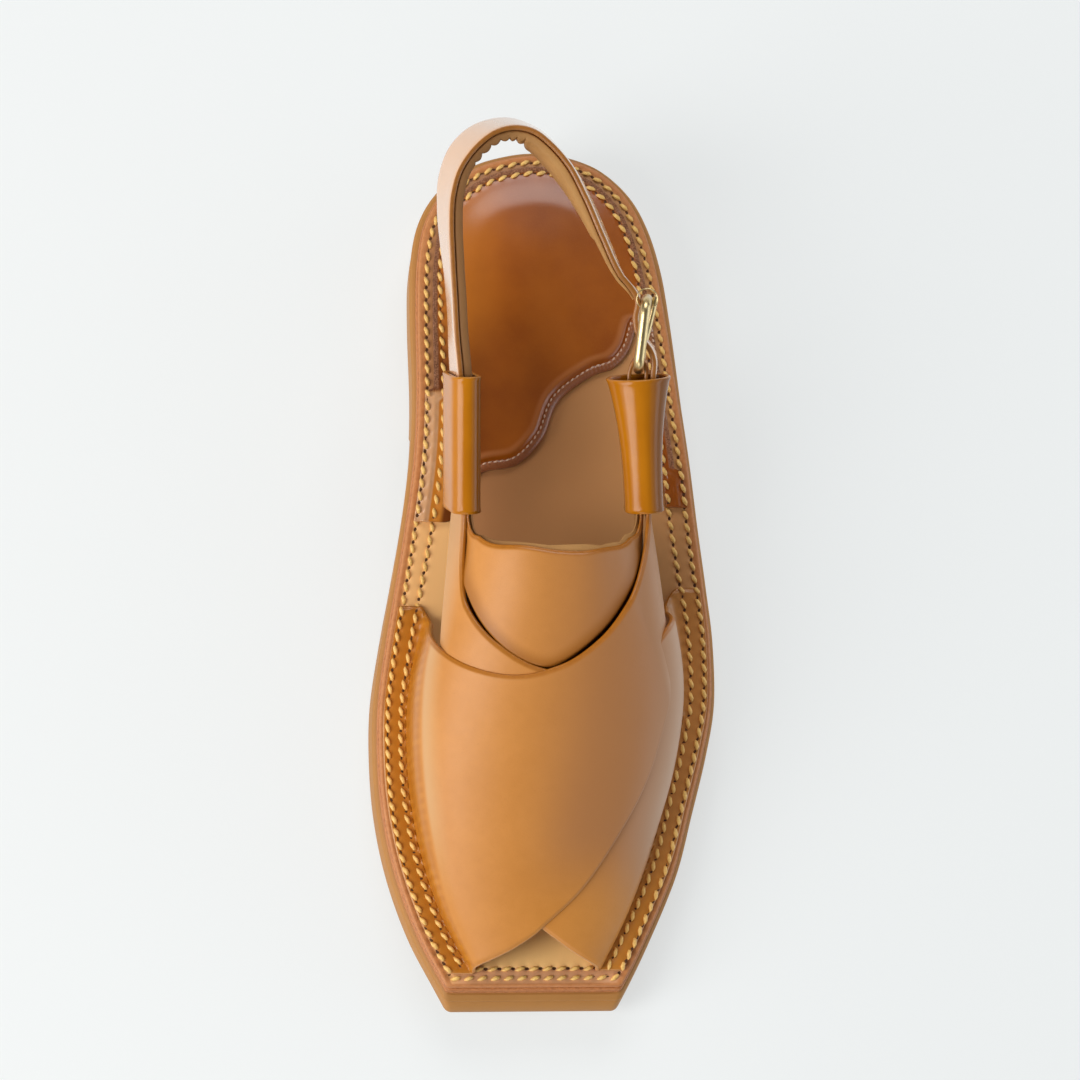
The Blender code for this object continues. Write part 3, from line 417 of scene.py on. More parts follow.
def toe_corner(flare, toe_y, side):
    """Rounded corner between the toe line and a side, listed from the toe line: a parabola."""
    reach = TOE_CORNER + CORNER_GROWTH * max(flare.fore, 0.0)
    corner = np.array([edge_sides(flare, toe_y)[side], toe_y])
    on_toe = corner + np.array([-reach if side else reach, 0.0])
    on_side = np.array([edge_sides(flare, toe_y + reach)[side], toe_y + reach])
    t = np.linspace(0.0, 1.0, CORNER_STEPS + 1)[:, None]
    return (1 - t) ** 2 * on_toe + 2 * t * (1 - t) * corner + t * t * on_side


def ring(flare):
    """Closed plan outline of the leather edge moved outward by a flare, square at the toe.

    Its points run from the toe line up the medial side to the heel's tip and back down the
    lateral side, so point i faces point -1 - i across the shoe.
    """
    curve = edge_curve(flare)
    tip = curve[int(np.argmax(curve[:, 1]))]
    swing = np.linspace(0.0, math.pi / 2, HEEL_STEPS + 1)[1:-1]
    heel = STATIONS[-1] + (tip[1] - STATIONS[-1]) * np.sin(swing)
    start = min(TOE_LATERAL_Y - flare.toe + TOE_CORNER + TOE_CLEAR, STATIONS[0] - STATION_CLEAR)
    fore = np.linspace(start, STATIONS[0], TOE_STATIONS + 1)[:-1]
    y = np.concatenate([fore, STATIONS, heel])
    medial, lateral = edge_sides(flare, y)
    toe_medial = toe_corner(flare, TOE_MEDIAL_Y - flare.toe, 0)
    toe_lateral = toe_corner(flare, TOE_LATERAL_Y - flare.toe, 1)
    left = np.vstack([toe_medial, np.column_stack([medial, y])])
    right = np.vstack([toe_lateral, np.column_stack([lateral, y])])
    return np.vstack([left, tip, right[::-1]])


def last_surface(turn, y):
    """A point of the last: walls that rise as parabolas from the creases, level at first and
    upright at their tops, and a superellipse arch between them. turn below 0 or above 1 runs
    out along the flat stitched margins."""
    medial, lateral, wall, crown, fullness = (smooth(LAST, name, y) for name in LastRow._fields[1:])
    phi = math.pi * np.clip((turn - WALL_SHARE) / (1 - 2 * WALL_SHARE), 0.0, 1.0)
    swing = np.sign(np.cos(phi)) * np.abs(np.cos(phi)) ** (2 / fullness)
    x = (medial + lateral) / 2 - (lateral - medial) / 2 * swing
    z = wall + (crown - wall) * np.abs(np.sin(phi)) ** (2 / fullness)
    to_margin = (CREASE - PANEL_EDGE) / MARGIN_TURN
    for crease, base, depth, outward in (
            (edge_sides(inset(CREASE), y)[0], medial, turn, -1),
            (edge_sides(inset(CREASE), y)[1], lateral, 1 - turn, 1)):
        rise = np.clip(depth / WALL_SHARE, 0.0, 1.0)
        wall_x = base + (crease - base) * (1 - rise) ** 2
        flat_x = crease - outward * depth * to_margin
        x = np.where(depth < WALL_SHARE, np.where(depth < 0, flat_x, wall_x), x)
        z = np.where(depth < WALL_SHARE, rise * rise * wall, z)
    return np.stack([x, y, deck(y) + GAP + z], axis=-1)


def last_point(turn, y, lift):
    """A point above the last's surface by lift, along the surface's normal."""
    step = 1e-3
    across = last_surface(turn + step, y) - last_surface(turn - step, y)
    along = last_surface(turn, y + step) - last_surface(turn, y - step)
    return last_surface(turn, y) + unit(np.cross(across, along)) * lift[..., None]


def directions(axes):
    """Unit vectors of a sleeve or of the buckle: along to the rear, outward, and up."""
    along = unit(np.subtract(axes.rear, axes.front))
    lean = math.radians(axes.lean)
    upright = np.array([-axes.side * math.sin(lean), 0.0, math.cos(lean)])
    out = unit(np.cross(along, upright)) * axes.side
    return along, out, np.cross(out, along) * axes.side


def place(axes, along, out, up):
    """World points from distances along, outward and up in the axes of a sleeve or buckle."""
    along, out, up = np.broadcast_arrays(along, out, up)
    vectors = directions(axes)
    return (np.array(axes.front) + along[..., None] * vectors[0]
            + out[..., None] * vectors[1] + up[..., None] * vectors[2])


# --------------------------------------------------------------------------- meshes
Patch = namedtuple("Patch", "points values")
RIM_SPREAD = 0.3         # power that widens the value edge over a rim's half circle


def patch(points, **values):
    """Grid of points in millimetres with named numbers at each of them."""
    shape = points.shape[:2]
    return Patch(points, {key: np.broadcast_to(value, shape) for key, value in values.items()})


def quads(rows, columns, base):
    """Faces of a grid whose points are counted row by row from base."""
    index = np.arange(rows * columns).reshape(rows, columns) + base
    corners = (index[:-1, :-1], index[:-1, 1:], index[1:, 1:], index[1:, :-1])
    return np.stack(corners, axis=-1).reshape(-1, 4)


def make_piece(name, patches, material, nodes=(), weld=True):
    """Object from patches, welded along their borders, with its faces turned outward."""
    points = np.concatenate([p.points.reshape(-1, 3) for p in patches])
    faces, base = [], 0
    for p in patches:
        faces.append(quads(*p.points.shape[:2], base))
        base += p.points.shape[0] * p.points.shape[1]
    mesh = bpy.data.meshes.new(name)
    mesh.from_pydata(((points - (*ORIGIN, 0.0)) * MM).tolist(), [], np.concatenate(faces).tolist())
    for key in patches[0].values:
        layer = mesh.attributes.new(key, "FLOAT", "POINT")
        number = np.concatenate([p.values[key].ravel() for p in patches])
        layer.data.foreach_set("value", number.astype(np.float32))
    if weld:
        shape = bmesh.new()
        shape.from_mesh(mesh)
        bmesh.ops.remove_doubles(shape, verts=shape.verts, dist=WELD * MM)
        bmesh.ops.dissolve_degenerate(shape, edges=shape.edges, dist=WELD * MM)
        bmesh.ops.recalc_face_normals(shape, faces=shape.faces)
        shape.to_mesh(mesh)
        shape.free()
    mesh.shade_smooth()
    mesh.materials.append(material)
    piece = bpy.data.objects.new(name, mesh)
    bpy.context.scene.collection.objects.link(piece)
    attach(piece, "root")
    if nodes:
        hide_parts(*nodes)
    return piece


def wall(outer, inner, bulge, steps=5, **values):
    """Patches of a closed wall between two grids, with a rounded rim.

    The rim runs from the outer face's border to the inner one's along a half circle, which
    stands out from the sheet by bulge; the value edge is 1 there and 0 on both faces.
    """
    rows, columns = outer.shape[:2]
    loop = np.concatenate([
        np.arange(columns),
        np.arange(1, rows) * columns + columns - 1,
        (rows - 1) * columns + np.arange(columns - 2, -1, -1),
        np.arange(rows - 2, -1, -1) * columns,
    ])
    middle = (outer + inner) / 2
    across, along = np.gradient(middle, axis=1), np.gradient(middle, axis=0)
    row, column = loop // columns, loop % columns
    out = np.zeros((len(loop), 3))
    for hit, way in ((column == 0, -across), (column == columns - 1, across),
                     (row == 0, -along), (row == rows - 1, along)):
        out += np.where(hit[:, None], unit(way.reshape(-1, 3)[loop]), 0.0)
    out = unit(out)
    swing = np.linspace(0.0, math.pi, steps + 2)[:, None, None]
    share = (1 - np.cos(swing)) / 2
    top, low = outer.reshape(-1, 3)[loop], inner.reshape(-1, 3)[loop]
    rim = top * (1 - share) + low * share + out * bulge * np.sin(swing)
    patches = [patch(outer, edge=0.0, **values), patch(inner[:, ::-1], edge=0.0, **{
        key: np.broadcast_to(value, (rows, columns))[:, ::-1] for key, value in values.items()})]
    around = {key: np.broadcast_to(np.broadcast_to(value, (rows, columns)).reshape(-1)[loop],
                                   (steps + 2, len(loop))) for key, value in values.items()}
    patches.append(patch(rim, edge=np.broadcast_to(np.sin(swing[..., 0]) ** RIM_SPREAD, rim.shape[:2]),
                         **around))
    return patches


def tube(centres, sides, ups, across, high, turns, power=1.0, closed=False):
    """Surface round a path: an ellipse of half sizes across and high in each section, whose
    sine and cosine are raised to power, below 1 for a squarer section. Its two ends are
    drawn to their middles unless it is closed."""
    swing = np.linspace(0.0, 2 * math.pi, turns + 1)
    cosine = np.sign(np.cos(swing)) * np.abs(np.cos(swing)) ** power
    sine = np.sign(np.sin(swing)) * np.abs(np.sin(swing)) ** power
    across, high = np.broadcast_to(across, len(centres)), np.broadcast_to(high, len(centres))
    skin = (centres[:, None] + sides[:, None] * (across[:, None] * cosine)[..., None]
            + ups[:, None] * (high[:, None] * sine)[..., None])
    if closed:
        return np.concatenate([skin, skin[:1]])
    first, last = centres[:1, None] + 0 * skin[:1], centres[-1:, None] + 0 * skin[:1]
    return np.concatenate([first, skin, last])


def arc_length(curve):
    """Length along a curve up to each of its points."""
    steps = np.linalg.norm(np.diff(curve, axis=0), axis=1)
    return np.concatenate([[0.0], np.cumsum(steps)])


def even(curve, count):
    """count points at even steps along a curve."""
    length = arc_length(curve)
    at = np.linspace(0.0, length[-1], count)
    return np.stack([np.interp(at, length, column) for column in curve.T], axis=1)


def closed_outline(outline, count=OUTLINE_STEPS):
    """An outline at count even steps, back to its first point."""
    return even(np.vstack([outline, outline[:1]]), count + 1)


def nearest(points, curve):
    """Distance in plan from each point of a grid to a curve, and the length along it there.

    The nearest sample is the one with the least half square less dot product. The distance
    is then taken square to the curve's tangent there, sliding at most one sample along it.
    """
    flat = points.reshape(-1, points.shape[-1])[:, :2]
    line = curve[:, :2]
    half_square = (line ** 2).sum(axis=1) / 2
    found = np.concatenate([(half_square - flat[start:start + CHUNK] @ line.T).argmin(axis=1)
                            for start in range(0, len(flat), CHUNK)])
    offset = flat - line[found]
    tangent = unit(np.gradient(line, axis=0))[found]
    slide = (offset * tangent).sum(axis=1)
    length = arc_length(line)
    step = length[-1] / len(length)
    slide = np.clip(slide, -step, step)
    distance = np.sqrt(np.maximum((offset ** 2).sum(axis=1) - slide ** 2, 0.0))
    shape = points.shape[:-1]
    return distance.reshape(shape), (length[found] + slide).reshape(shape)


def from_edge(plan):
    """How far inside the leather edge each plan point is."""
    return nearest(plan, closed_outline(ring(inset(0.0))))[0]


# ------------------------------------------------------------------ seams round the sole
# A row of stitches round the whole shoe: its flare, stitches in all, and a stitch's length
# and thickness, and how far it slants across the row.
Seam = namedtuple("Seam", "name flare count length thick slant")
SEAMS = (
    Seam("outer_seam", Flare(-4.4, -3.4, -3.4, -3.4), 152, 3.35, 1.5, 0.5),
    Seam("inner_seam", Flare(-7.4, -7.6, -8.9, -7.7), 142, 3.45, 1.45, 0.5),
)
STITCH_SAMPLES = 8       # samples of a seam's curve to each stitch
SWELL_LEAN = 0.8         # below 1, a stitch is plumper towards its start
SWELL_POWER = 0.6        # below 1, it keeps its thickness nearer to its ends
PLY_DEPTH = 0.1          # share of the radius that its two plies stand out
PLY_TWIST = 5.0          # and their turn from end to end, in radians
STITCH_ARCH = 0.32       # how high its middle rises, in thicknesses
STITCH_SINK = 0.12
STITCH_FLATNESS = 0.8    # height of its section to its width
HOLE_DEPTH = 0.5
HOLE_SPREAD = 0.75
HOLE_LENGTH = 1.9
HOLE_WIDTH = 1.1
HOLE_BULGE = 0.1
HOLE_SHOW = 0.05         # how far a hole's dark lens stands out of its pit
CHANNEL_DEPTH = 0.14     # the row as a whole is pulled down by this much
VAMP_MEDIAL = (-128.5, -9.0)     # stations between which a panel covers the margin
VAMP_LATERAL = (-127.0, -1.5)
VAMP_MARGIN = 9.6        # and how far in from the sides
COVER_MEDIAL_Y = 19.4    # behind these stations the heel cover's flange does
COVER_LATERAL_Y = 26.0
WING_FLANGE = 2.9        # its two wings reach farther out, over the outer seam,
WING_MEDIAL_Y = 63.0     # in front of these stations
WING_LATERAL_Y = 38.0


def seam_way(seam):
    """Closed plan curve of a seam, with samples at even steps and its first one repeated."""
    return closed_outline(ring(seam.flare), STITCH_SAMPLES * seam.count)


SEAM_WAYS = {seam.name: seam_way(seam) for seam in SEAMS}


def margin_top(plan):
    """Height of whatever lies on top at plan points of the margin: panel, flange or insole."""
    x, y = plan[..., 0], plan[..., 1]
    medial = x < 0
    vamp = np.where(medial, (y > VAMP_MEDIAL[0]) & (y < VAMP_MEDIAL[1]),
                    (y > VAMP_LATERAL[0]) & (y < VAMP_LATERAL[1]))
    sides = edge_sides(inset(0.0), y)
    vamp &= np.minimum(x - sides[0], sides[1] - x) < VAMP_MARGIN
    wing = np.where(medial, y < WING_MEDIAL_Y, y < WING_LATERAL_Y)
    cover = np.where(medial, y > COVER_MEDIAL_Y, y > COVER_LATERAL_Y) & (
        from_edge(plan) > np.where(wing, WING_FLANGE, HEEL_FLANGE))
    return deck(y) + np.where(vamp, GAP + PANEL_WALL, np.where(cover, GAP + HEEL_WALL, 0.0))


def stitch_pull(plan):
    """How deep the seams draw a surface down: a shallow channel, which falls off as a bell
    curve of the distance, with a pit at every hole, which is a cubed raised cosine along."""
    depth = np.zeros(plan.shape[:2])
    for seam in SEAMS:
        way_round = SEAM_WAYS[seam.name]
        off, along = nearest(plan, way_round)
        pitch = arc_length(way_round)[-1] / seam.count
        pit = (0.5 + 0.5 * np.cos(2 * math.pi * (along / pitch - 0.5))) ** 3
        depth += HOLE_DEPTH * pit * np.exp(-(off / HOLE_SPREAD) ** 2)
        depth += CHANNEL_DEPTH * np.exp(-(off / (2 * HOLE_SPREAD)) ** 2)
    return depth


def stitches(centres, along, ups, length, thick, slant, rows=11, turns=10):
    """Thread over the leather: each stitch is a bent drop, plump towards one end, with two
    plies laid round it. Its radius is a sine raised to a power, its middle stands up as half
    a sine wave and its ends dive into their holes."""
    t = np.linspace(0.0, 1.0, rows)[:, None]
    swing = np.linspace(0.0, 2 * math.pi, turns + 1)[None, :]
    swell = np.sin(math.pi * t ** SWELL_LEAN) ** SWELL_POWER
    ply = 1 + PLY_DEPTH * np.cos(2 * (swing - PLY_TWIST * t))
    radius = thick / 2 * swell * ply
    lengthways = length * (t - 0.5) + 0 * swing
    sideways = slant * (t - 0.5) * 2 + radius * np.cos(swing)
    upward = STITCH_ARCH * thick * np.sin(math.pi * t) - STITCH_SINK
    upward = upward + STITCH_FLATNESS * radius * np.sin(swing)
    sides = np.cross(ups, along)
    shape = (centres[:, None, None] + along[:, None, None] * lengthways[..., None]
             + sides[:, None, None] * sideways[..., None] + ups[:, None, None] * upward[..., None])
    return [patch(one) for one in shape]


def awl_holes(centres, along, ups, rows=6, turns=10):
    """Painted shade of the holes that the thread dives into: dark flat lenses sunk almost level
    with the leather, each an ellipsoid of HOLE_LENGTH by HOLE_WIDTH in plan and HOLE_BULGE high."""
    t = np.linspace(0.0, math.pi, rows)[:, None]
    swing = np.linspace(0.0, 2 * math.pi, turns + 1)[None, :]
    sides = np.cross(ups, along)
    spread = np.sin(t)
    shape = (centres[:, None, None]
             + along[:, None, None] * (HOLE_LENGTH / 2 * spread * np.cos(swing))[..., None]
             + sides[:, None, None] * (HOLE_WIDTH / 2 * spread * np.sin(swing))[..., None]
             + ups[:, None, None] * (HOLE_BULGE * np.cos(t) + 0 * swing)[..., None])
    return [patch(one) for one in shape]


def build_seams():
    """Both seams round the sole: their stitches and the awl holes halfway between them."""
    for seam in SEAMS:
        way_round = SEAM_WAYS[seam.name]
        points = np.column_stack([way_round, margin_top(way_round[None])[0]])[:-1]
        tangent = unit(np.roll(points, -2, axis=0) - np.roll(points, 2, axis=0))
        ups = unit(np.cross(tangent, np.cross((0.0, 0.0, 1.0), tangent)))
        middles = slice(0, None, STITCH_SAMPLES)
        holes = slice(STITCH_SAMPLES // 2, None, STITCH_SAMPLES)
        thread = stitches(points[middles], tangent[middles], ups[middles], seam.length, seam.thick,
                          seam.slant)
        make_piece(seam.name, thread, waxed_thread())
        sunk = points[holes] - ups[holes] * (HOLE_DEPTH - HOLE_SHOW)
        make_piece(seam.name + "_holes", awl_holes(sunk, tangent[holes], ups[holes]),
                   hole_shade())


# ------------------------------------------------------------------------- the sole
# Side of the outsole: its flare, and its height as a share of the rubber's thickness and an
# offset from there. The rows below the ledge make its fine bead.
OUTSOLE_SIDE = table(
    WallRow,
    (Flare(4.6, 1.4, 0.6, 1.1), 0.0, 0.0),
    (Flare(5.2, 1.9, 1.0, 1.6), 0.0, 0.3),
    (Flare(5.6, 2.2, 1.2, 1.9), 0.0, 0.9),
    (Flare(5.0, 1.9, 1.15, 1.85), 0.25, 0.5),
    (Flare(4.0, 1.5, 1.05, 1.8), 0.6, -0.4),
    (Flare(2.6, 1.15, 0.95, 1.75), 1.0, -2.45),
    (Flare(2.15, 0.9, 0.7, 1.5), 1.0, -2.25),
    (Flare(2.2, 1.0, 0.8, 1.6), 1.0, -2.0),
    (Flare(2.6, 1.4, 1.2, 2.1), 1.0, -1.75),
    (Flare(2.5, 1.4, 1.2, 2.1), 1.0, -1.35),
    (Flare(2.1, 1.15, 1.0, 1.8), 1.0, -1.0),
    (Flare(1.2, 0.8, 0.7, 1.4), 1.0, -0.7),
    (Flare(0.6, 0.6, 0.5, 1.2), 1.0, 0.0),
)
# Side of the midsole: flare and drop below its face, with the joint of its two leathers.
MIDSOLE_SIDE = table(
    BoardRow,
    (Flare(-0.3, -0.3, -0.3, -0.3), 3.0),
    (Flare(-0.05, -0.05, -0.05, -0.05), 2.75),
    (Flare(0.0, 0.0, 0.0, 0.0), 2.3),
    (Flare(-0.05, 0.0, 0.0, 0.0), 1.75),
    (Flare(-0.55, -0.45, -0.45, -0.45), 1.6),
    (Flare(-0.6, -0.5, -0.5, -0.5), 1.45),
    (Flare(-0.3, -0.05, -0.05, -0.05), 1.3),
    (Flare(-0.5, -0.1, -0.1, -0.1), 0.8),
    (Flare(-0.8, -0.3, -0.3, -0.3), 0.35),
    (Flare(-1.3, -0.8, -0.8, -0.8), 0.0),
)
INSOLE_SIDE = table(
    BoardRow,
    (Flare(-1.7, -1.2, -1.2, -1.2), 1.8),
    (Flare(-1.5, -0.75, -0.75, -0.75), 1.3),
    (Flare(-1.6, -0.7, -0.7, -0.7), 0.9),
    (Flare(-1.8, -0.8, -0.8, -0.8), 0.4),
    (Flare(-2.1, -1.1, -1.1, -1.1), 0.1),
    (Flare(-2.5, -1.5, -1.5, -1.5), 0.0),
)
SIDE_COLUMNS = (0.0, 1.5)        # a cap's first columns beside its border
OUTSOLE_COLUMNS = 40     # even columns between them
MIDSOLE_COLUMNS = 1
INSOLE_BORDER_COLUMNS = np.linspace(0.0, 9.0, 16)
INSOLE_COLUMNS = 60
INSOLE_LEVEL = 1.6       # the insole's border keeps level this far in
INSOLE_LEVEL_RUN = 0.6
TREAD_DEPTH = 0.9
TREAD_PITCH = 6.4
TREAD_CREST = 0.35       # the grooves are where the wave is below this
TREAD_SLOPE = 0.7
TREAD_MARGIN = 7.0       # plain border round the tread
TREAD_END = 1.5          # how softly its two fields end
TREAD_FORE = (-112.0, -16.0)
TREAD_HEEL = (58.0, 138.0)
Zigzag = namedtuple("Zigzag", "centre half_width depth")
TREAD_ZIGZAG = Zigzag(3.0, 11.0, 4.0)


def spread_columns(near, middle):
    """Shares from 0 to 1 across each row: those in near, middle even ones, and near's mirror."""
    last = near[:, -1:]
    between = last + (1 - 2 * last) * np.linspace(0, 1, middle + 2)[None, 1:-1]
    return np.concatenate([near, between, 1 - near[:, ::-1]], axis=1)


def rungs(outline, insets, middle):
    """Grid of plan points across a ring: at the given insets from each side, and middle
    even ones between. The rungs join the points that face each other across the shoe."""
    half = len(outline) // 2 + 1
    left, right = outline[:half], outline[::-1][:half]
    width = np.linalg.norm(right - left, axis=1)[:, None]
    near = np.minimum(np.asarray(insets)[None, :] / np.maximum(width, WELD), 0.5)
    share = spread_columns(near, middle)
    return left[:, None] + (right - left)[:, None] * share[..., None]


def in_band(y, band, run):
    """1 between two stations, with soft ends of width run, else 0."""
    return smoothstep((y - band[0]) / run) * smoothstep((band[1] - y) / run)


def flat(plan):
    """No relief."""
    return 0.0 * plan[..., 0]


def tread(plan):
    """Height of the grooves in the underside: a clipped wave along a zigzag, inside a border."""
    x, y = plan[..., 0], plan[..., 1]
    zigzag = np.abs((x + TREAD_ZIGZAG.centre) / TREAD_ZIGZAG.half_width % 2 - 1) * TREAD_ZIGZAG.depth
    wave = np.sin(2 * math.pi * (y + zigzag) / TREAD_PITCH)
    groove = smoothstep((TREAD_CREST - wave) / TREAD_SLOPE)
    inward = nearest(plan, closed_outline(ring(OUTSOLE_SIDE[0].flare)))[0]
    where = np.maximum(in_band(y, TREAD_FORE, TREAD_END), in_band(y, TREAD_HEEL, TREAD_END))
    return TREAD_DEPTH * groove * smoothstep(inward - TREAD_MARGIN) * where


def insole_relief(plan):
    """The insole's face: dimples at the awl holes of both seams, level at its border."""
    return -stitch_pull(plan) * smoothstep((from_edge(plan) - INSOLE_LEVEL) / INSOLE_LEVEL_RUN)


def sole_layer(name, rows, height, insets, middle, reliefs, material, slot):
    """One layer of the sole: rows carried round the outline, then its underside and its face.

    height gives a row's height at stations y, and the two reliefs are added to the caps.
    The value inset is how far inside the leather edge a point lies.
    """
    side, toe = [], []
    for row in rows:
        outline = ring(row.flare)
        front = rungs(outline, insets, middle)[0]
        side.append(np.column_stack([outline, height(row, outline[:, 1])]))
        toe.append(np.column_stack([front, height(row, front[:, 1])]))
    reach = np.array([-row.flare.fore for row in rows])[:, None]
    patches = [patch(np.array(side), inset=reach), patch(np.array(toe), inset=reach)]
    for row, relief in zip((rows[0], rows[-1]), reliefs):
        plan = rungs(ring(row.flare), insets, middle)
        cap = np.dstack([plan, height(row, plan[..., 1]) + relief(plan)])
        patches.append(patch(cap, inset=from_edge(plan)))
    return make_piece(name, patches, material, [slot])


def rubber_height(row, y):
    """Height of the outsole's side: ground plus a share of the rubber's thickness, and a rise."""
    top = deck(y) - INSOLE_WALL - MIDSOLE_WALL - 2 * GAP
    return ground(y) + row.share * (top - ground(y)) + row.rise


def midsole_height(row, y):
    """Height of the midsole's side: its face, a gap under the insole, less the row's drop."""
    return deck(y) - INSOLE_WALL - GAP - row.drop


def insole_height(row, y):
    """Height of the insole's side: the deck less the row's drop."""
    return deck(y) - row.drop


def build_sole():
    """The rubber outsole with its tread, the midsole and the dimpled insole."""
    sole_layer("outsole_rubber", OUTSOLE_SIDE, rubber_height, SIDE_COLUMNS, OUTSOLE_COLUMNS,
               (tread, flat), outsole_rubber(), "outsole")
    sole_layer("midsole_leather", MIDSOLE_SIDE, midsole_height, SIDE_COLUMNS, MIDSOLE_COLUMNS,
               (flat, flat), edge_leather("midsole_edge"), "midsole")
    sole_layer("insole_leather", INSOLE_SIDE, insole_height, INSOLE_BORDER_COLUMNS, INSOLE_COLUMNS,
               (flat, insole_relief), deck_leather(), "insole")


# ------------------------------------------------------------------------- the upper
PANEL_ROWS = 163
MARGIN_ROWS = 9
PANEL_COLUMNS = 121
BAND_COLUMNS = 91
ARM_SHARE = 8 / 30       # share of a strap's rows that turn upright into a sleeve
EDGE_COLUMNS = (0.0, 0.15, 0.35, 0.6, 0.9, 1.3, 1.9)     # first columns beside a cut edge
CUT_BULGE = 0.5          # how far a cut edge stands out, rounded
CUT_EASE = 0.45          # how much the face falls away beside it
BAND_SINK = 4.5          # the band rolls down this much outside the line it is seen to
BAND_SINK_START = -2.8   # from this far inside that line
BAND_SINK_RUN = 2.4
BAND_SEEN = table(
    StrapEdge,
    (0.208, 20.0), (0.228, 8.5), (0.254, -3.3), (0.305, -14.2), (0.357, -23.0),
    (0.409, -30.0), (0.455, -33.8), (0.486, -34.4), (0.508, -32.5), (0.545, -27.5),
    (0.588, -20.6), (0.633, -12.0), (0.682, -2.7), (0.735, 8.4), (0.750, 20.0),
)
BAND_SINK_END = (3.0, 11.0)      # and not behind these stations, between which it fades
BAND_SEEN_END = 8.0
BAND_SKIN = 1.3          # outer leather of the instep band; the rest is its lining
BAND_SPLIT = 0.15
BAND_SAG = (0.9, 0.53, 0.07)     # dip of its rear edge: how deep, at which turn, how wide
BAND_WAVE = (0.25, 40.0)         # and its waves: how high, and radians to a whole turn
BAND_MIDDLE = (0.24, 0.76)       # turns between which both show
BAND_MIDDLE_RUN = 0.06
BAND_REAR_FALL = 9.0     # how fast they fade from the rear edge to the front one
LINING_GATHER = (0.5, 0.55, 30.0, 9.0)   # folds of its lining: rest, height, two wave numbers
RIPPLE = 0.2             # faint upright ripples that the seam pulls into the side walls
RIPPLE_PITCH = 3.9
RIPPLE_TURN = (-0.02, 0.06)      # turns between which they show
MARGIN_FADE = 0.02       # turn over which the seam's pull begins
SLEEVE_ROWS = 41
SLEEVE_TURNS = 64
SLEEVE_SEAM = 0.001      # keeps the loop's first rung off the middle of a flat side
SLEEVE_FLATNESS = 6.0    # how sharply its flat sides meet its round ends
LIP_ROWS = 7
LIP_ROLL = 0.22          # how far a sleeve's lip rolls out
LIP_WIDTH = 0.9
LIP_BULGE = 0.45
LIP_SINK = 0.2
CUT_WIDTH = 0.6          # how far from a cut edge the face falls away
DRAFT_COLUMNS = 9        # of the first grid, which only measures a strap's width
SEEN_SAMPLES = 400


def draw_arm(grid, axes, layer, reach):
    """Bend the last rows of a strap's grid, by a smooth step, into an upright flat rectangle
    at layer inside a sleeve."""
    count = round((len(grid) - 1) * ARM_SHARE) + 1
    along = np.linspace(ARM_START, reach, count)[:, None]
    up = np.linspace(ARM_HEIGHT / 2, -ARM_HEIGHT / 2, grid.shape[1])
    goal = place(axes, along, np.broadcast_to(layer, grid.shape[:2])[-count:], up)
    weight = smoothstep((along - ARM_START) / -ARM_START)[..., None]
    grid[-count:] = grid[-count:] * (1 - weight) + goal * weight


def ruled(top_edge, low_edge, columns, margin):
    """Grid of turn and y on straight lines between two edges, with closer columns beside
    both, set out by the strap's width; margin is the turn where its raw stitched edge runs."""
    top, low = spline(top_edge, PANEL_ROWS), spline(low_edge, PANEL_ROWS)
    if margin is not None:
        run = np.linspace(margin, top[0, 0], MARGIN_ROWS)[:-1]
        top = np.vstack([np.column_stack([run, np.full(len(run), top[0, 1])]), top])
        low = np.vstack([np.column_stack([run, np.full(len(run), low[0, 1])]), low])
    even_share = np.linspace(0.0, 1.0, DRAFT_COLUMNS)[None, :, None]
    draft = top[:, None] * (1 - even_share) + low[:, None] * even_share
    draft = last_point(draft[..., 0], draft[..., 1], 0 * draft[..., 0])
    width = np.linalg.norm(np.diff(draft, axis=1), axis=-1).sum(axis=1)[:, None]
    share = spread_columns(np.array(EDGE_COLUMNS)[None] / width, columns)[..., None]
    grid = top[:, None] * (1 - share) + low[:, None] * share
    return grid[..., 0], grid[..., 1]


def edge_distance(grid):
    """How far each point of a grid is from the nearer of its first and last columns."""
    steps = np.linalg.norm(np.diff(grid, axis=1), axis=-1)
    across = np.hstack([np.zeros((len(grid), 1)), np.cumsum(steps, axis=1)])
    return np.minimum(across, across[:, -1:] - across)


def margin_relief(turn, y, points):
    """The stitched margin of a panel: the seams' pull where it lies flat, and on its wall
    sine ripples along y under half a sine wave of the turn."""
    outward = np.maximum(-turn, turn - 1)
    depth = stitch_pull(points) * smoothstep((outward + MARGIN_FADE) / MARGIN_FADE)
    start, end = RIPPLE_TURN
    wall_share = np.clip((np.minimum(turn, 1 - turn) - start) / (end - start), 0.0, 1.0)
    wall_band = np.clip(np.sin(math.pi * wall_share), 0.0, 1.0)
    return -depth + RIPPLE * wall_band * np.sin(2 * math.pi * y / RIPPLE_PITCH)


def panel(name, turn, y, lift, thick, arms, material, nodes, relief, gap=FAR):
    """A strap of the upper: a sheet between the last lifted by lift and thick above it, its
    ends drawn into the sleeves. Beside its cut edges the face falls away as a bell curve.
    The value turn is its place round the foot, near how far a cut edge is, and gap how far
    the crevice under the next strap is."""
    inner = last_point(turn, y, lift)
    near = edge_distance(inner)
    thick = thick - CUT_EASE * np.exp(-(near / CUT_WIDTH) ** 2)
    outer = last_point(turn, y, lift + thick)
    outer[..., 2] += relief(turn, y, outer)
    for axes, layer, reach, step in arms:
        draw_arm(inner[::step], axes, layer, reach)
        draw_arm(outer[::step], axes, layer + thick[::step], reach)
    return make_piece(name, wall(outer, inner, CUT_BULGE, turn=turn, near=near, gap=gap), material,
                      nodes)


def plain_relief(turn, y, points):
    """No relief."""
    return np.zeros(turn.shape)


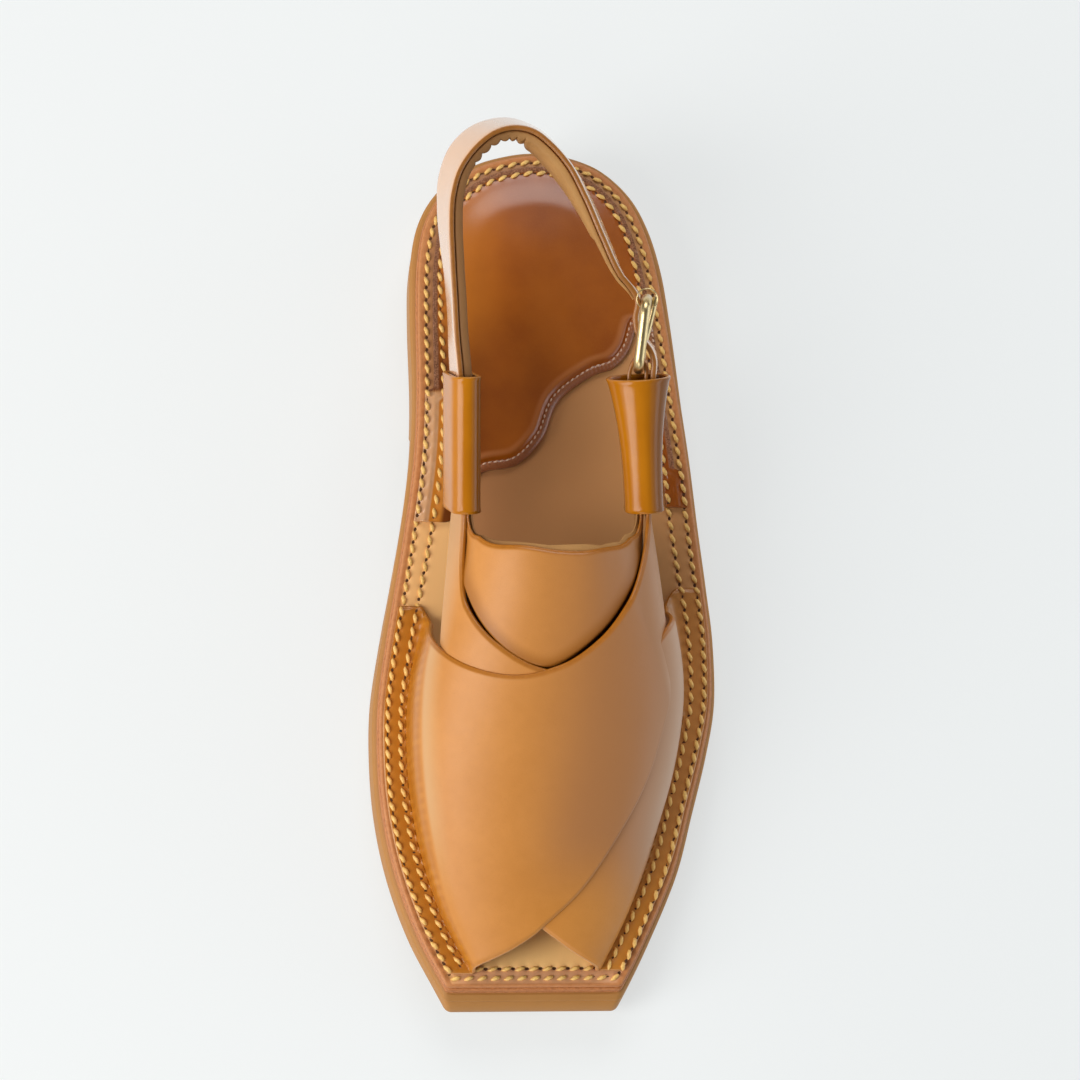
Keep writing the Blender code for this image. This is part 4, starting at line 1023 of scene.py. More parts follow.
def band_sink(turn, y):
    """How deep the band lies below its first form, and how far inside its seen line a point
    is: it rolls down into the crevice under the straps' edges, by a smooth step."""
    line = spline(BAND_SEEN, SEEN_SAMPLES)
    low = int(np.argmin(line[:, 1]))
    limit = np.where(turn < line[low, 0], np.interp(turn, line[:low + 1, 0], line[:low + 1, 1]),
                     np.interp(turn, line[low:, 0], line[low:, 1]))
    inside = nearest(last_surface(turn, y), last_surface(line[:, 0], line[:, 1]))[0]
    inside = np.where(y > limit, inside, -inside)
    start, end = BAND_SINK_END
    sink = (BAND_SINK * (1 - smoothstep((inside - BAND_SINK_START) / BAND_SINK_RUN))
            * (1 - smoothstep((y - start) / (end - start))))
    return sink, np.where(y < BAND_SEEN_END, inside, FAR)


def build_upper():
    """The over-panel, the under-panel and the instep band with its own lining."""
    turn, y = ruled(OVER_SCOOP, OVER_FREE, PANEL_COLUMNS, -MARGIN_TURN)
    lift = OVER_LIFT * smoothstep((turn - WALL_SHARE) / OVER_LIFT_TURN)
    panel("over_panel", turn, y, lift, PANEL_WALL, ((AXES_LATERAL, OVER_LAYER, ARM_END, 1),),
          vamp_leather("over_panel_leather"), ["upper"], margin_relief)

    turn, y = ruled(UNDER_SCOOP, UNDER_FREE, PANEL_COLUMNS, 1 + MARGIN_TURN)
    panel("under_panel", turn, y, np.zeros_like(turn), PANEL_WALL,
          ((AXES_MEDIAL, UNDER_LAYER, ARM_END, 1),), vamp_leather("under_panel_leather"), ["upper"],
          margin_relief)
    build_band()


def build_band():
    """The instep band: its lining below and its leather above. The leather's rear edge dips
    by a bell curve and a sine, the lining's gathers by the size of a sine with a drift, and
    both die away towards the front edge."""
    turn, y = ruled(BAND_REAR, BAND_FRONT, BAND_COLUMNS, None)
    start, end = BAND_CLEAR_TURN
    sink, gap = band_sink(turn, y)
    lift = BAND_LIFT - BAND_CLEAR * smoothstep((turn - start) / (end - start)) - sink
    rear = np.exp(-np.linspace(0.0, BAND_REAR_FALL, turn.shape[1])[None, :])
    loose = rear * in_band(turn, BAND_MIDDLE, BAND_MIDDLE_RUN)
    sag, centre, width = BAND_SAG
    wave, waves = BAND_WAVE
    dip = sag * np.exp(-((turn - centre) / width) ** 2) + wave * np.sin(turn * waves)
    rest, height, folds, drift = LINING_GATHER
    gather = rest + height * np.abs(np.sin(turn * folds + 2 * np.sin(turn * drift)))
    lining = BAND_WALL - BAND_SKIN - BAND_SPLIT
    under = lining + BAND_SPLIT
    for name, edge_y, base, thick, finish, crevice in (
            ("instep_band", y - loose * dip, under, BAND_SKIN, vamp_leather("band_leather"), gap),
            ("band_lining", y + loose * gather, 0.0, lining,
             lining_leather("band_lining_leather"), FAR)):
        arms = ((AXES_LATERAL, BAND_LATERAL_LAYER + base, BAND_END, 1),
                (AXES_MEDIAL, BAND_MEDIAL_LAYER + base, BAND_END, -1))
        panel(name, turn, edge_y, lift + base, thick, arms, finish, ["upper"], plain_relief, crevice)


def build_keeper(keeper):
    """Leather sleeve: its wall's section, rolled out a little at both lips, carried round an
    upright loop. A sine pressed towards a square wave makes the loop's flat sides, and a
    value stored at each point, how far it faces the lateral side, sets painted shade there."""
    length = np.linalg.norm(np.subtract(keeper.axes.rear, keeper.axes.front))
    run = np.linspace(0.0, 1.0, SLEEVE_ROWS)
    lip = np.linspace(0.0, math.pi, LIP_ROWS)[1:-1]
    roll = LIP_ROLL * (np.exp(-(run * length / LIP_WIDTH) ** 2)
                       + np.exp(-((1 - run) * length / LIP_WIDTH) ** 2))
    along = np.concatenate([run * length, length + LIP_BULGE * np.sin(lip), run[::-1] * length,
                            -LIP_BULGE * np.sin(lip), [0.0]])
    lips = SLEEVE_WALL / 2 * (1 - np.cos(lip))
    depth = np.concatenate([-roll, lips - LIP_SINK * (1 + np.cos(lip)) / 2,
                            np.full(SLEEVE_ROWS, SLEEVE_WALL), lips[::-1], [-roll[0]]])
    edge = np.concatenate([0 * run, np.sin(lip), 0 * run, np.sin(lip), [0.0]])
    swing = np.linspace(0.0, 2 * math.pi, SLEEVE_TURNS + 1)[None, :] + SLEEVE_SEAM
    opening = np.clip(along / length, 0.0, 1.0)[:, None] ** keeper.flare
    across = keeper.across_front + (keeper.across_rear - keeper.across_front) * opening
    height = keeper.up_front + (keeper.up_rear - keeper.up_front) * opening
    radius = across / 2 - depth[:, None]
    out = radius * np.cos(swing)
    up = radius * np.sin(swing) + np.tanh(SLEEVE_FLATNESS * np.sin(swing)) * (height - across) / 2
    skin = place(keeper.axes, along[:, None] + 0 * swing, out, up)
    lee = np.cos(swing) * directions(keeper.axes)[1][0] + 0 * out
    make_piece(keeper.name + "_leather",
               [patch(skin, edge=np.broadcast_to(edge[:, None], out.shape), lee=lee)],
               sleeve_leather(), [keeper.name])


# ------------------------------------------------------------------------ heel cover
HEEL_COLUMNS = 331
HEEL_ROWS = 81
RIM_SAMPLES = 400
FRONT_SAMPLES = 600
RIM_FLAT = 2.2           # the pad starts this far inside the rim
RIM_RUN = 12.0           # slopes up over this width
DOME_RUN = 30.0          # and domes on this far,
DOME_SHARE = 0.5         # for this share of its height
RIM_EASE = 6.0           # how far inside the rim the seams pull
WING_RUN = 1.5           # how softly the wings begin
WING_PUFF = 0.45         # how much the wings swell between the seams' rows,
PUFF_PLACE = 3.0         # this far inside the rim,
PUFF_WIDTH = 0.9
PUFF_PITCH = 4.3         # in puffs of this length,
PUFF_SHARE = 0.25        # which make this share of the swelling
RAW_EDGE = 0.35          # how rough the raw edge behind them is
RAW_WIDTH = 1.1
RAW_WAVES = (2.3, 0.7, 5.1)      # radians to a millimetre of its three sine waves
RAW_DROP = 0.5           # share of it that also lowers the face
COVER_LEAST = 0.4        # wall that is left under the seams' pull
COVER_BULGE = 0.3        # how far its cut edge stands out, rounded
PIPE_WIDTH = 2.3         # rolled front edge of the heel cover
PIPE_HEIGHT = 0.8
PIPE_RIB = 1.35          # pitch of the little folds across it
PIPE_FOLD = 0.16         # and how deep they are, as a share of it
PIPE_START = (12.0, 4.0)         # it shows from here along the edge, and how softly
PIPE_END = (60.0, 6.0)           # to here before the edge's end
CREASE_DEPTH = 0.45      # of the crease beside it
CREASE_PLACE = 0.35
CREASE_WIDTH = 0.4
PIPE_SEAM = Seam("cover_seam", None, 64, 1.5, 0.6, 0.12)
PIPE_SEAM_SPAN = slice(40, 470)  # samples of the front edge that it runs along
PIPE_SEAM_INSET = 0.15


def cover_front():
    """The S-shaped front edge: a curve through its points, at even steps."""
    return even(spline(HEEL_FRONT, RIM_SAMPLES)[:, :2], FRONT_SAMPLES)


def cover_height(plan):
    """Height of the heel cover above the insole, how far behind its front edge a point is,
    and whether the rolled edge shows there.

    The padded field is two smooth steps inward from the rim times one back from the front
    edge. The roll is a half circle with a cosine of folds along it, and the crease beside
    it, where its seam runs, a bell curve.
    """
    front = cover_front()
    off, along = nearest(plan, front)
    inward = from_edge(plan) - HEEL_FLANGE
    floor = HEEL_WALL + HEEL_PAD * (
        ((1 - DOME_SHARE) * smoothstep((inward - RIM_FLAT) / RIM_RUN)
         + DOME_SHARE * smoothstep((inward - RIM_FLAT) / DOME_RUN))
        * smoothstep(off / PAD_RUN))
    length = arc_length(front)[-1]
    shown = (smoothstep((along - PIPE_START[0]) / PIPE_START[1])
             * smoothstep((length - PIPE_END[0] - along) / PIPE_END[1]))
    fold = 1 + PIPE_FOLD * np.cos(2 * math.pi * along / PIPE_RIB)
    share = np.clip(off / PIPE_WIDTH, 0.0, 1.0)
    roll = np.sqrt(np.clip(1 - (2 * share - 1) ** 2, 0.0, 1.0)) * PIPE_HEIGHT * fold
    crease = CREASE_DEPTH * np.exp(-((off - PIPE_WIDTH - CREASE_PLACE) / CREASE_WIDTH) ** 2)
    return floor + shown * (np.where(off < PIPE_WIDTH, roll, 0.0) - crease), off, shown


def cover_plan():
    """Plan grid of the heel cover, ruled from its front edge to its rim, and the rim itself:
    an inset ring that steps out to the wings in front of their stations."""
    rows = spline(HEEL_FRONT, HEEL_COLUMNS)
    front, share = rows[:, :2], np.clip(rows[:, 2], 0.0, 1.0)
    edge, wing = edge_curve(inset(HEEL_FLANGE)), edge_curve(inset(WING_FLANGE))
    tip = int(np.argmax(edge[:, 1]))
    reach = np.where(np.arange(len(edge)) < tip, WING_MEDIAL_Y, WING_LATERAL_Y)
    edge = edge + (wing - edge) * smoothstep((reach - edge[:, 1]) / WING_RUN + 0.5)[:, None]
    start = int(np.argmin(np.abs(edge[:tip, 1] - HEEL_FRONT[0].y)))
    end = tip + int(np.argmin(np.abs(edge[tip:, 1] - HEEL_FRONT[-1].y)))
    rim = even_spline(edge[start:end + 1], RIM_SAMPLES)
    blend = smoothstep(np.linspace(0.0, 1.0, HEEL_ROWS))[:, None, None]
    return front * (1 - blend) + resample(rim, share) * blend, rim


def build_heel_cover():
    """Padded leather from the S-shaped front edge to the rim round the heel. Beside the rim
    it takes the seams' pull, puffs between their rows on the wings, and a raw edge made of
    three sine waves behind them."""
    plan, rim = cover_plan()
    floor = deck(plan[..., 1]) + GAP
    lift, off, shown = cover_height(plan)
    top = np.dstack([plan, floor + lift])
    from_rim, along_rim = nearest(plan, rim)
    pull = stitch_pull(top) * np.exp(-(from_rim / RIM_EASE) ** 2)
    coarse, slow, fine = (along_rim * wave for wave in RAW_WAVES)
    raw = RAW_EDGE * np.exp(-(from_rim / RAW_WIDTH) ** 2) * (
        np.sin(coarse + 2 * np.sin(slow)) + 0.6 * np.sin(fine))
    top[..., 2] -= np.minimum(pull, HEEL_WALL - COVER_LEAST)
    top[..., 2] -= RAW_DROP * raw * (plan[..., 1] > WING_LATERAL_Y)
    lateral = plan[..., 0] > 0
    behind = np.where(lateral, plan[..., 1] - WING_LATERAL_Y, plan[..., 1] - WING_MEDIAL_Y)
    puff = np.exp(-((from_rim - PUFF_PLACE) / PUFF_WIDTH) ** 2) * smoothstep(-behind / WING_RUN)
    puffs = PUFF_SHARE * np.cos(2 * math.pi * along_rim / PUFF_PITCH)
    top[..., 2] += WING_PUFF * puff * (1 - PUFF_SHARE + puffs)
    values = {"front": off + FAR * (1 - shown), "rim": from_rim, "raw": smoothstep(behind / WING_RUN),
              "wing": np.where(lateral, 0.0, smoothstep(-behind))}
    cover = make_piece("heel_cover_leather", wall(top, np.dstack([plan, floor]), COVER_BULGE, **values),
                       cover_leather(), ["heel_cover"])


def build_cover_seam():
    """Fine stitches in the crease behind the rolled front edge, at even steps along a line
    that runs beside that edge."""
    front = cover_front()
    tangent = unit(np.gradient(front, axis=0))
    inward = np.column_stack([-tangent[:, 1], tangent[:, 0]])
    line = front + (PIPE_WIDTH - PIPE_SEAM_INSET) * inward
    line = even(line[PIPE_SEAM_SPAN], STITCH_SAMPLES * PIPE_SEAM.count + 1)
    height = cover_height(line[None])[0]
    points = np.column_stack([line, deck(line[:, 1]) + GAP + height[0]])
    along = unit(np.gradient(points, axis=0))
    ups = unit(np.cross(along, np.cross((0.0, 0.0, 1.0), along)))
    pick = slice(STITCH_SAMPLES // 2, None, STITCH_SAMPLES)
    thread = stitches(points[pick], along[pick], ups[pick], PIPE_SEAM.length, PIPE_SEAM.thick,
                      PIPE_SEAM.slant, rows=7, turns=8)
    make_piece("cover_seam", thread, cream_thread())


# ------------------------------------------------------------- heel strap and buckle
STRAP_SAMPLES = 641
STRIP_TURNS = 40         # points round a strip's section,
STRIP_SQUARE = 0.32      # the power of its rounded square,
STRIP_EDGE = (0.955, 0.03)       # where its cut edges begin on it, and how softly
FOOT_POWER = 0.4         # how evenly the padding's spread fades towards its middle
LINING_RUN = (4 / 71, 57 / 71)    # shares of the strap's length that its lining covers
LINING_TAPER = (0.60, 0.70, 0.80)          # shares at which it is LINING_WALLS thick
LINING_WALLS = (3.0, 1.9, 0.8)
PUCKER_RUN = (0.44, 0.65)         # share of the lining's length that is gathered
PUCKERS = 8
PUCKER_ENDS = 0.03       # over this share of its length the gathers begin and end
PUCKER_DEPTH = 1.2
PUCKER_REST = 0.7        # as a share of their height, the level they swing about
PUCKER_POWER = 0.6       # under 1 their valleys are narrower than their ridges
PUCKER_DRIFT = (0.6, 31.0)       # how uneven they are: how much, and radians to the length
LINING_SHORT = 0.8       # the lining is this much lower than the strap,
LINING_TAIL = (3.0, 0.78, 0.02)  # and lower still by the first from the second share on
LINING_SINK = 0.1        # how far it is pressed into the strap
PLUMP_SHARES = (0.56, 0.64, 0.76, 0.86, 0.875, 0.97)
PLUMP = (0.0, 4.4, 3.4, 2.2, 0.8, 0.0)     # how far its padding spreads inward at its foot
RING_SIZE = 7.0
RING_WIRE = 0.42
RING_PLACE = (1.0, 0.2, -3.0)    # beyond the frame's rear bar, outward, and from its top
RING_SAMPLES = 72
RING_TURNS = 14
WIRE_SWELL = 0.35        # the polished wire is a little thicker than drawn
WIRE_TURNS = 32
CORNER_SAMPLES = 11
PIN_SAMPLES = 41
PIN_TURNS = 24
PIN_BLUNT = 8            # the higher, the blunter the pin's ends
PIN_TIP = 0.02
BEND_SAMPLES = 7
LOOP_SAMPLES = 121


def strip_axes(path):
    """Axes across a path whose columns are centre, upward direction and height: upward made
    square to the path, and the cross product of both."""
    along = unit(np.gradient(path[:, :3], axis=0))
    ups = path[:, 3:6]
    ups = unit(ups - along * (ups * along).sum(axis=1, keepdims=True))
    return np.cross(along, ups), ups


def way(axes, points, height):
    """Path rows of a table of way points in some axes: their places, the axes' upward
    direction and a height."""
    up = directions(axes)[2]
    return [[*place(axes, np.array(p.along), np.array(p.out), np.array(0.0)), *up, height]
            for p in points]


def crest_way():
    """Path rows of the heel strap's centre from the rows of its crest: half its height below
    the crest and half its wall inside it, square to its lean."""
    top = np.array([(row.x, row.y, row.z) for row in CREST])
    along = unit(np.gradient(top * (1, 1, 0), axis=0))
    level = np.cross(along, (0.0, 0.0, 1.0))
    lean = np.radians([row.lean for row in CREST])[:, None]
    up = np.cos(lean) * (0.0, 0.0, 1.0) + np.sin(lean) * level
    inward = np.cos(lean) * level - np.sin(lean) * (0.0, 0.0, 1.0)
    heights = np.array([[row.height] for row in CREST])
    return np.hstack([top - up * heights / 2 + inward * STRAP_WALL / 2, up, heights])


def strap_path():
    """Even samples along the heel strap: centre, upward direction and height, on one smooth
    curve through the medial sleeve, the crest's rows, the buckle and the lateral sleeve."""
    length = np.linalg.norm(np.subtract(AXES_MEDIAL.rear, AXES_MEDIAL.front))
    start = (WayPoint(STRAP_START, STRAP_SIDE), WayPoint(length - STRAP_LEAVE, STRAP_SIDE))
    return even_spline(np.vstack([
        way(AXES_MEDIAL, start, STRAP_NARROW),
        crest_way(),
        way(AXES_BUCKLE, STRAP_IN_BUCKLE, TAIL_HEIGHT),
        way(AXES_LATERAL, TAIL_IN_SLEEVE, TAIL_HEIGHT),
    ]), STRAP_SAMPLES)


def build_strip(name, path, walls, material, shift=0.0, spread=0.0):
    """Flat strip on edge along a path with a softly squared section, whose inner face stands
    in by spread at its foot; the value edge is 1 on its two cut edges, and across runs from
    -1 on its outer face to 1 on its inner one."""
    inward, ups = strip_axes(path)
    centres = path[:, :3] + inward * np.broadcast_to(shift, len(path))[:, None]
    skin = tube(centres, inward, ups, walls / 2, path[:, 6] / 2, STRIP_TURNS, STRIP_SQUARE)
    swing = np.linspace(0.0, 2 * math.pi, STRIP_TURNS + 1)[None, :] + np.zeros((len(skin), 1))
    foot = np.clip(np.cos(swing[1:-1]), 0.0, 1.0) ** FOOT_POWER * (1 - np.sin(swing[1:-1])) / 2
    skin[1:-1] += inward[:, None] * (np.broadcast_to(spread, len(path))[:, None] * foot)[..., None]
    start, run = STRIP_EDGE
    edge = smoothstep((np.abs(np.sin(swing)) ** STRIP_SQUARE - start) / run)
    edge[[0, 1, -2, -1]] = 1.0
    return make_piece(name + "_leather", [patch(skin, edge=edge, across=np.cos(swing))], material,
                      [name])


def build_heel_strap():
    """Strap from the medial sleeve round the heel, through the buckle and into the other,
    and the padded lining on its inner face, gathered where it bends round the heel: the
    gathers are a sine wave's size to a power under 1."""
    path = strap_path()
    build_strip("heel_strap", path, np.full(len(path), STRAP_WALL), strap_leather())
    share = np.linspace(0.0, 1.0, len(path))
    run = (share >= LINING_RUN[0]) & (share <= LINING_RUN[1])
    inner = path[run].copy()
    walls = np.interp(share[run], LINING_TAPER, LINING_WALLS)
    drop, start, width = LINING_TAIL
    inner[:, 6] -= LINING_SHORT + drop * smoothstep((share[run] - start) / width)
    at = np.linspace(0.0, 1.0, len(inner))
    gathered = in_band(at, PUCKER_RUN, PUCKER_ENDS)
    span = PUCKER_RUN[1] - PUCKER_RUN[0]
    much, drift = PUCKER_DRIFT
    beat = np.abs(np.sin(math.pi * PUCKERS * (at - PUCKER_RUN[0]) / span + much * np.sin(at * drift)))
    walls = walls + PUCKER_DEPTH * gathered * (beat ** PUCKER_POWER - PUCKER_REST)
    spread = np.interp(at, PLUMP_SHARES, PLUMP)
    shift = STRAP_WALL / 2 - LINING_SINK + walls / 2
    lining = build_strip("heel_strap_lining", inner, walls, lining_leather("strap_lining_leather"),
                         shift, spread)


def round_spokes(swing, first, second):
    """Unit vectors at angles that run from the first direction towards the second."""
    return np.cos(swing)[:, None] * first + np.sin(swing)[:, None] * second


def build_wire(name, centres, sides, up, radius, turns, closed, material, nodes):
    """Round wire along a centre line, a closed one or one with two ends."""
    skin = tube(centres, sides, np.broadcast_to(up, centres.shape), radius, radius, turns,
                closed=closed)
    make_piece(name, [patch(skin)], material, nodes)


def build_buckle():
    """The buckle's frame, its pin and the thin ring at its upper bar. The frame's centre
    line is four quarter circles, joined by straight bars."""
    along, out, up = directions(AXES_BUCKLE)
    span = np.linalg.norm(np.subtract(AXES_BUCKLE.rear, AXES_BUCKLE.front))
    high = (BUCKLE_HEIGHT - WIRE) / 2 - BUCKLE_CORNER
    near, far = BUCKLE_CORNER, span - BUCKLE_CORNER
    corners = np.array([(far, high), (near, high), (near, -high), (far, -high)])
    corners = np.repeat(corners, CORNER_SAMPLES, axis=0)
    swing = np.arange(4)[:, None] + np.linspace(0.0, 1.0, CORNER_SAMPLES)
    spokes = round_spokes(swing.ravel() * math.pi / 2, along, up)
    centres = place(AXES_BUCKLE, corners[:, 0], 0 * corners[:, 0], corners[:, 1])
    centres = centres + BUCKLE_CORNER * spokes
    build_wire("buckle_wire", centres, spokes, out, (WIRE + WIRE_SWELL) / 2, WIRE_TURNS, True,
               brass("buckle_brass"), ["buckle_frame"])

    pin = even(np.array(way(AXES_BUCKLE, PRONG_ENDS, 0.0))[:, :3], PIN_SAMPLES)
    side = np.broadcast_to(np.cross(unit(pin[1] - pin[0]), up), pin.shape)
    run = np.linspace(-1.0, 1.0, PIN_SAMPLES)
    taper = PRONG / 2 * np.sqrt(np.clip(1 - run ** PIN_BLUNT, PIN_TIP, 1.0))
    build_wire("buckle_pin", pin, side, up, taper, PIN_TURNS, False, brass("pin_brass"),
               ["buckle_prong"])

    beyond, outward, below = RING_PLACE
    centre = place(AXES_BUCKLE, np.array(span + beyond), np.array(outward),
                   np.array(BUCKLE_HEIGHT / 2 + below))
    spokes = round_spokes(np.linspace(0.0, 2 * math.pi, RING_SAMPLES + 1)[:-1], along, out)
    build_wire("thread_ring", centre + (RING_SIZE - RING_WIRE) / 2 * spokes, spokes, up,
               RING_WIRE / 2, RING_TURNS, True, brass("ring_brass"), None)


def build_buckle_loop():
    """Folded strip round the frame's front bar, its two legs in the lateral sleeve."""
    radius = WIRE / 2 + GAP + LOOP_WALL / 2
    swing = np.linspace(-math.pi / 2, math.pi / 2, BEND_SAMPLES)
    bend = [WayPoint(radius * math.cos(s), radius * math.sin(s)) for s in swing]
    rows = np.vstack([
        way(AXES_LATERAL, INNER_LEG, LOOP_HEIGHT),
        way(AXES_BUCKLE, bend, LOOP_HEIGHT),
        way(AXES_LATERAL, OUTER_LEG, LOOP_HEIGHT),
    ])
    path = even_spline(rows, LOOP_SAMPLES)
    build_strip("buckle_loop", path, np.full(len(path), LOOP_WALL), strap_leather("loop_leather"))


# --------------------------------------------------------------------------- finishes
MARGIN_PULL = 3.4        # millimetres between the painted highlights on the ripples of the panels' margins


class Number:
    """A shader socket that takes Python arithmetic; each operation adds a Math node."""

    def __init__(self, paint, link):
        """The finish it belongs to, and its socket."""
        self.paint = paint
        self.link = link

    def math(self, operation, *inputs):
        """A Math node of some operation."""
        return self.paint.node("ShaderNodeMath", {"operation": operation}, dict(enumerate(inputs)))

    def __add__(self, other):
        """Sum."""
        return self.math("ADD", self, other)

    def __sub__(self, other):
        """Difference."""
        return self.math("SUBTRACT", self, other)

    def __rsub__(self, other):
        """Difference from a plain number."""
        return self.math("SUBTRACT", other, self)

    def __mul__(self, other):
        """Product."""
        return self.math("MULTIPLY", self, other)

    __radd__ = __add__
    __rmul__ = __mul__

    def between(self, low, high):
        """0 below low and 1 above high, with a smooth rise; low may be the greater one."""
        sockets = {"Value": self, "From Min": low, "From Max": high}
        return self.paint.node("ShaderNodeMapRange", {"interpolation_type": "SMOOTHSTEP"}, sockets)


class Paint:
    """One finish: a Principled shader and the nodes that vary it."""

    def __init__(self, name, **constants):
        """A new material, and the shader inputs that stay the same all over it."""
        self.material = bpy.data.materials.new(name)
        self.material.use_nodes = True
        self.tree = self.material.node_tree
        self.shader = self.tree.nodes["Principled BSDF"]
        for key, value in constants.items():
            self.shader.inputs[key.replace("_", " ")].default_value = value

    def node(self, kind, settings=None, sockets=None, output=0):
        """A node of a type, its settings, then the values or links of its sockets."""
        made = self.tree.nodes.new(kind)
        for key, value in (settings or {}).items():
            setattr(made, key, value)
        for key, value in (sockets or {}).items():
            self.set(made.inputs[key], value)
        return Number(self, made.outputs[output])

    def set(self, socket, value):
        """Link a socket to a Number, or give it a plain value."""
        if isinstance(value, Number):
            self.tree.links.new(value.link, socket)
        else:
            socket.default_value = value

    def vary(self, **links):
        """Link or set the shader's inputs."""
        for key, value in links.items():
            self.set(self.shader.inputs[key.replace("_", " ")], value)

    def value(self, name):
        """A number stored at the piece's points."""
        return self.node("ShaderNodeAttribute", {"attribute_name": name}, output=2)

    def place(self, stretch=(1.0, 1.0, 1.0)):
        """Object coordinates, stretched."""
        point = self.node("ShaderNodeTexCoord", output=3)
        return self.node("ShaderNodeMapping", None, {"Vector": point, "Scale": stretch})

    def axis(self, output):
        """Object X, Y or Z in metres."""
        point = self.node("ShaderNodeTexCoord", output=3)
        return self.node("ShaderNodeSeparateXYZ", None, {"Vector": point}, output)

    def noise(self, size, detail=3.0, roughness=0.55, stretch=(1.0, 1.0, 1.0)):
        """Cloudy noise from 0 to 1 whose blotches are about size millimetres wide."""
        sockets = {"Vector": self.place(stretch), "Scale": 1.0 / (size * MM), "Detail": detail,
                   "Roughness": roughness}
        return self.node("ShaderNodeTexNoise", None, sockets)

    def cells(self, size):
        """Distance to the edges of random cells about size millimetres wide."""
        sockets = {"Vector": self.place(), "Scale": 1.0 / (size * MM)}
        return self.node("ShaderNodeTexVoronoi", {"feature": "DISTANCE_TO_EDGE"}, sockets)

    def mix(self, share, low, high):
        """Colour from low, at share 0, to high, at 1."""
        sockets = {0: share, 6: self.colour(low), 7: self.colour(high)}
        return self.node("ShaderNodeMix", {"data_type": "RGBA"}, sockets, output=2)

    def colour(self, value):
        """A colour's link, or its red, green and blue with full opacity."""
        return value if isinstance(value, Number) else (*value, 1.0)

    def bump(self, height, depth, strength=1.0, under=None):
        """Normal of a relief, depth millimetres deep where height runs from 0 to 1."""
        sockets = {"Height": height, "Distance": depth * MM, "Strength": strength}
        if under is not None:
            sockets["Normal"] = under
        return self.node("ShaderNodeBump", None, sockets)


def grain(paint, size=0.7, depth=0.02, under=None):
    """Relief of full-grain leather: small pebbles, finer pores and a faint slow unevenness."""
    pebbles = paint.cells(size).between(0.0, 0.35)
    pores = paint.noise(0.25, 2.0)
    slow = paint.noise(9.0, 2.0)
    return paint.bump(pebbles * 0.5 + pores * 0.5 + slow * 2.0, depth, 1.0, under)


def vamp_leather(name):
    """Honey-tan calf: cloudy tone, a soft wax gloss, and a burnished, darker cut edge.

    The value turn tells where on the last a point is, 0 at the medial and 1 at the lateral
    margin; gap sets the painted shade where the band runs into its crevice; skived is the
    pale, thin part of an edge. Light is painted on the face too: highlights on the medial
    shoulder and on the margin's ripples, shade and a greyish sheen on the lateral slopes.
    """
    paint = Paint(name, IOR=1.42)
    clouds = paint.noise(38.0, 3.0) * 0.75 + paint.noise(4.0, 3.0) * 0.25
    face = paint.mix(clouds.between(0.3, 0.7), (0.53, 0.205, 0.034), (0.60, 0.242, 0.046))
    fleck = paint.noise(0.6, 2.0).between(0.55, 0.8)
    face = paint.mix(fleck * 0.15, face, (0.36, 0.12, 0.02))
    turn = paint.value("turn")
    # Painted shade: the lateral slopes, which face away from the light, darker and greyer behind the
    # toe.
    lateral = turn.between(0.40, 0.60) * paint.axis(1).between(-0.118, -0.088)
    face = paint.mix(lateral * 0.9, face, (0.405, 0.172, 0.060))
    # Painted sheen: a pale greyish-pink reflection on the lateral slopes; fore fades it and the
    # shoulder's painted highlight out towards the toe.
    fore = paint.axis(1).between(-0.115, -0.075)
    face = paint.mix(turn.between(0.66, 0.86) * fore * 0.85, face, (0.56, 0.36, 0.24))
    # Painted highlight: a pale band along the medial shoulder, where the vamp turns over from its wall.
    shoulder_highlight = turn.between(0.195, 0.215) * turn.between(0.275, 0.215) * fore
    face = paint.mix(shoulder_highlight * 0.7, face, (0.60, 0.36, 0.17))
    # Margins: the medial wall is painted a deeper, saturated orange that stands in for its glossy
    # reflection, and the lateral margin is a darker brown.
    margin = turn.between(0.207, 0.182) + turn.between(0.93, 0.99)
    # Painted highlights: pale stripes along the medial margin's wall that stand in for the light on its
    # ripples.
    ripple_highlights = paint.axis(1) * (2 * math.pi / (MARGIN_PULL * MM))
    ripple_highlights = ripple_highlights.math("SINE", ripple_highlights).between(-1.0, 1.0) * turn.between(0.0, 0.05)
    ripple_highlights = ripple_highlights * paint.noise(9.0, 2.0).between(0.3, 0.7)
    medial = paint.mix(ripple_highlights * 0.5, (0.45, 0.15, 0.008), (0.60, 0.24, 0.026))
    side = paint.mix(turn.between(0.4, 0.6), medial, (0.48, 0.18, 0.022))
    face = paint.mix(margin * 0.85, face, side)
    edge = paint.value("edge")
    rim = paint.mix(paint.noise(1.6, 3.0), (0.30, 0.09, 0.004), (0.46, 0.155, 0.008))
    skived = paint.axis(1).between(-0.043, -0.054)
    rim = paint.mix(skived * 0.6, rim, (0.66, 0.36, 0.16))
    burnish = paint.value("near").between(1.5, 0.35) * (1.0 - margin.between(0.0, 0.5)) * 0.8
    burnish = burnish * (1.0 - skived)
    # Painted shade: the band darkens as it rolls into the crevice under the straps' edges, almost black
    # in the crevice itself.
    gap = paint.value("gap")
    face = paint.mix(gap.between(4.0, -0.4) * 0.8, face, (0.32, 0.105, 0.006))
    face = paint.mix(gap.between(-0.3, -1.5), face, (0.09, 0.03, 0.004))
    face = paint.mix(burnish, face, rim)
    paint.vary(Base_Color=paint.mix(edge.between(0.1, 0.6) * 0.9, face, rim),
               Roughness=0.38 + 0.08 * paint.noise(5.0, 3.0) - 0.12 * margin - 0.14 * burnish,
               Normal=grain(paint))
    return paint.material


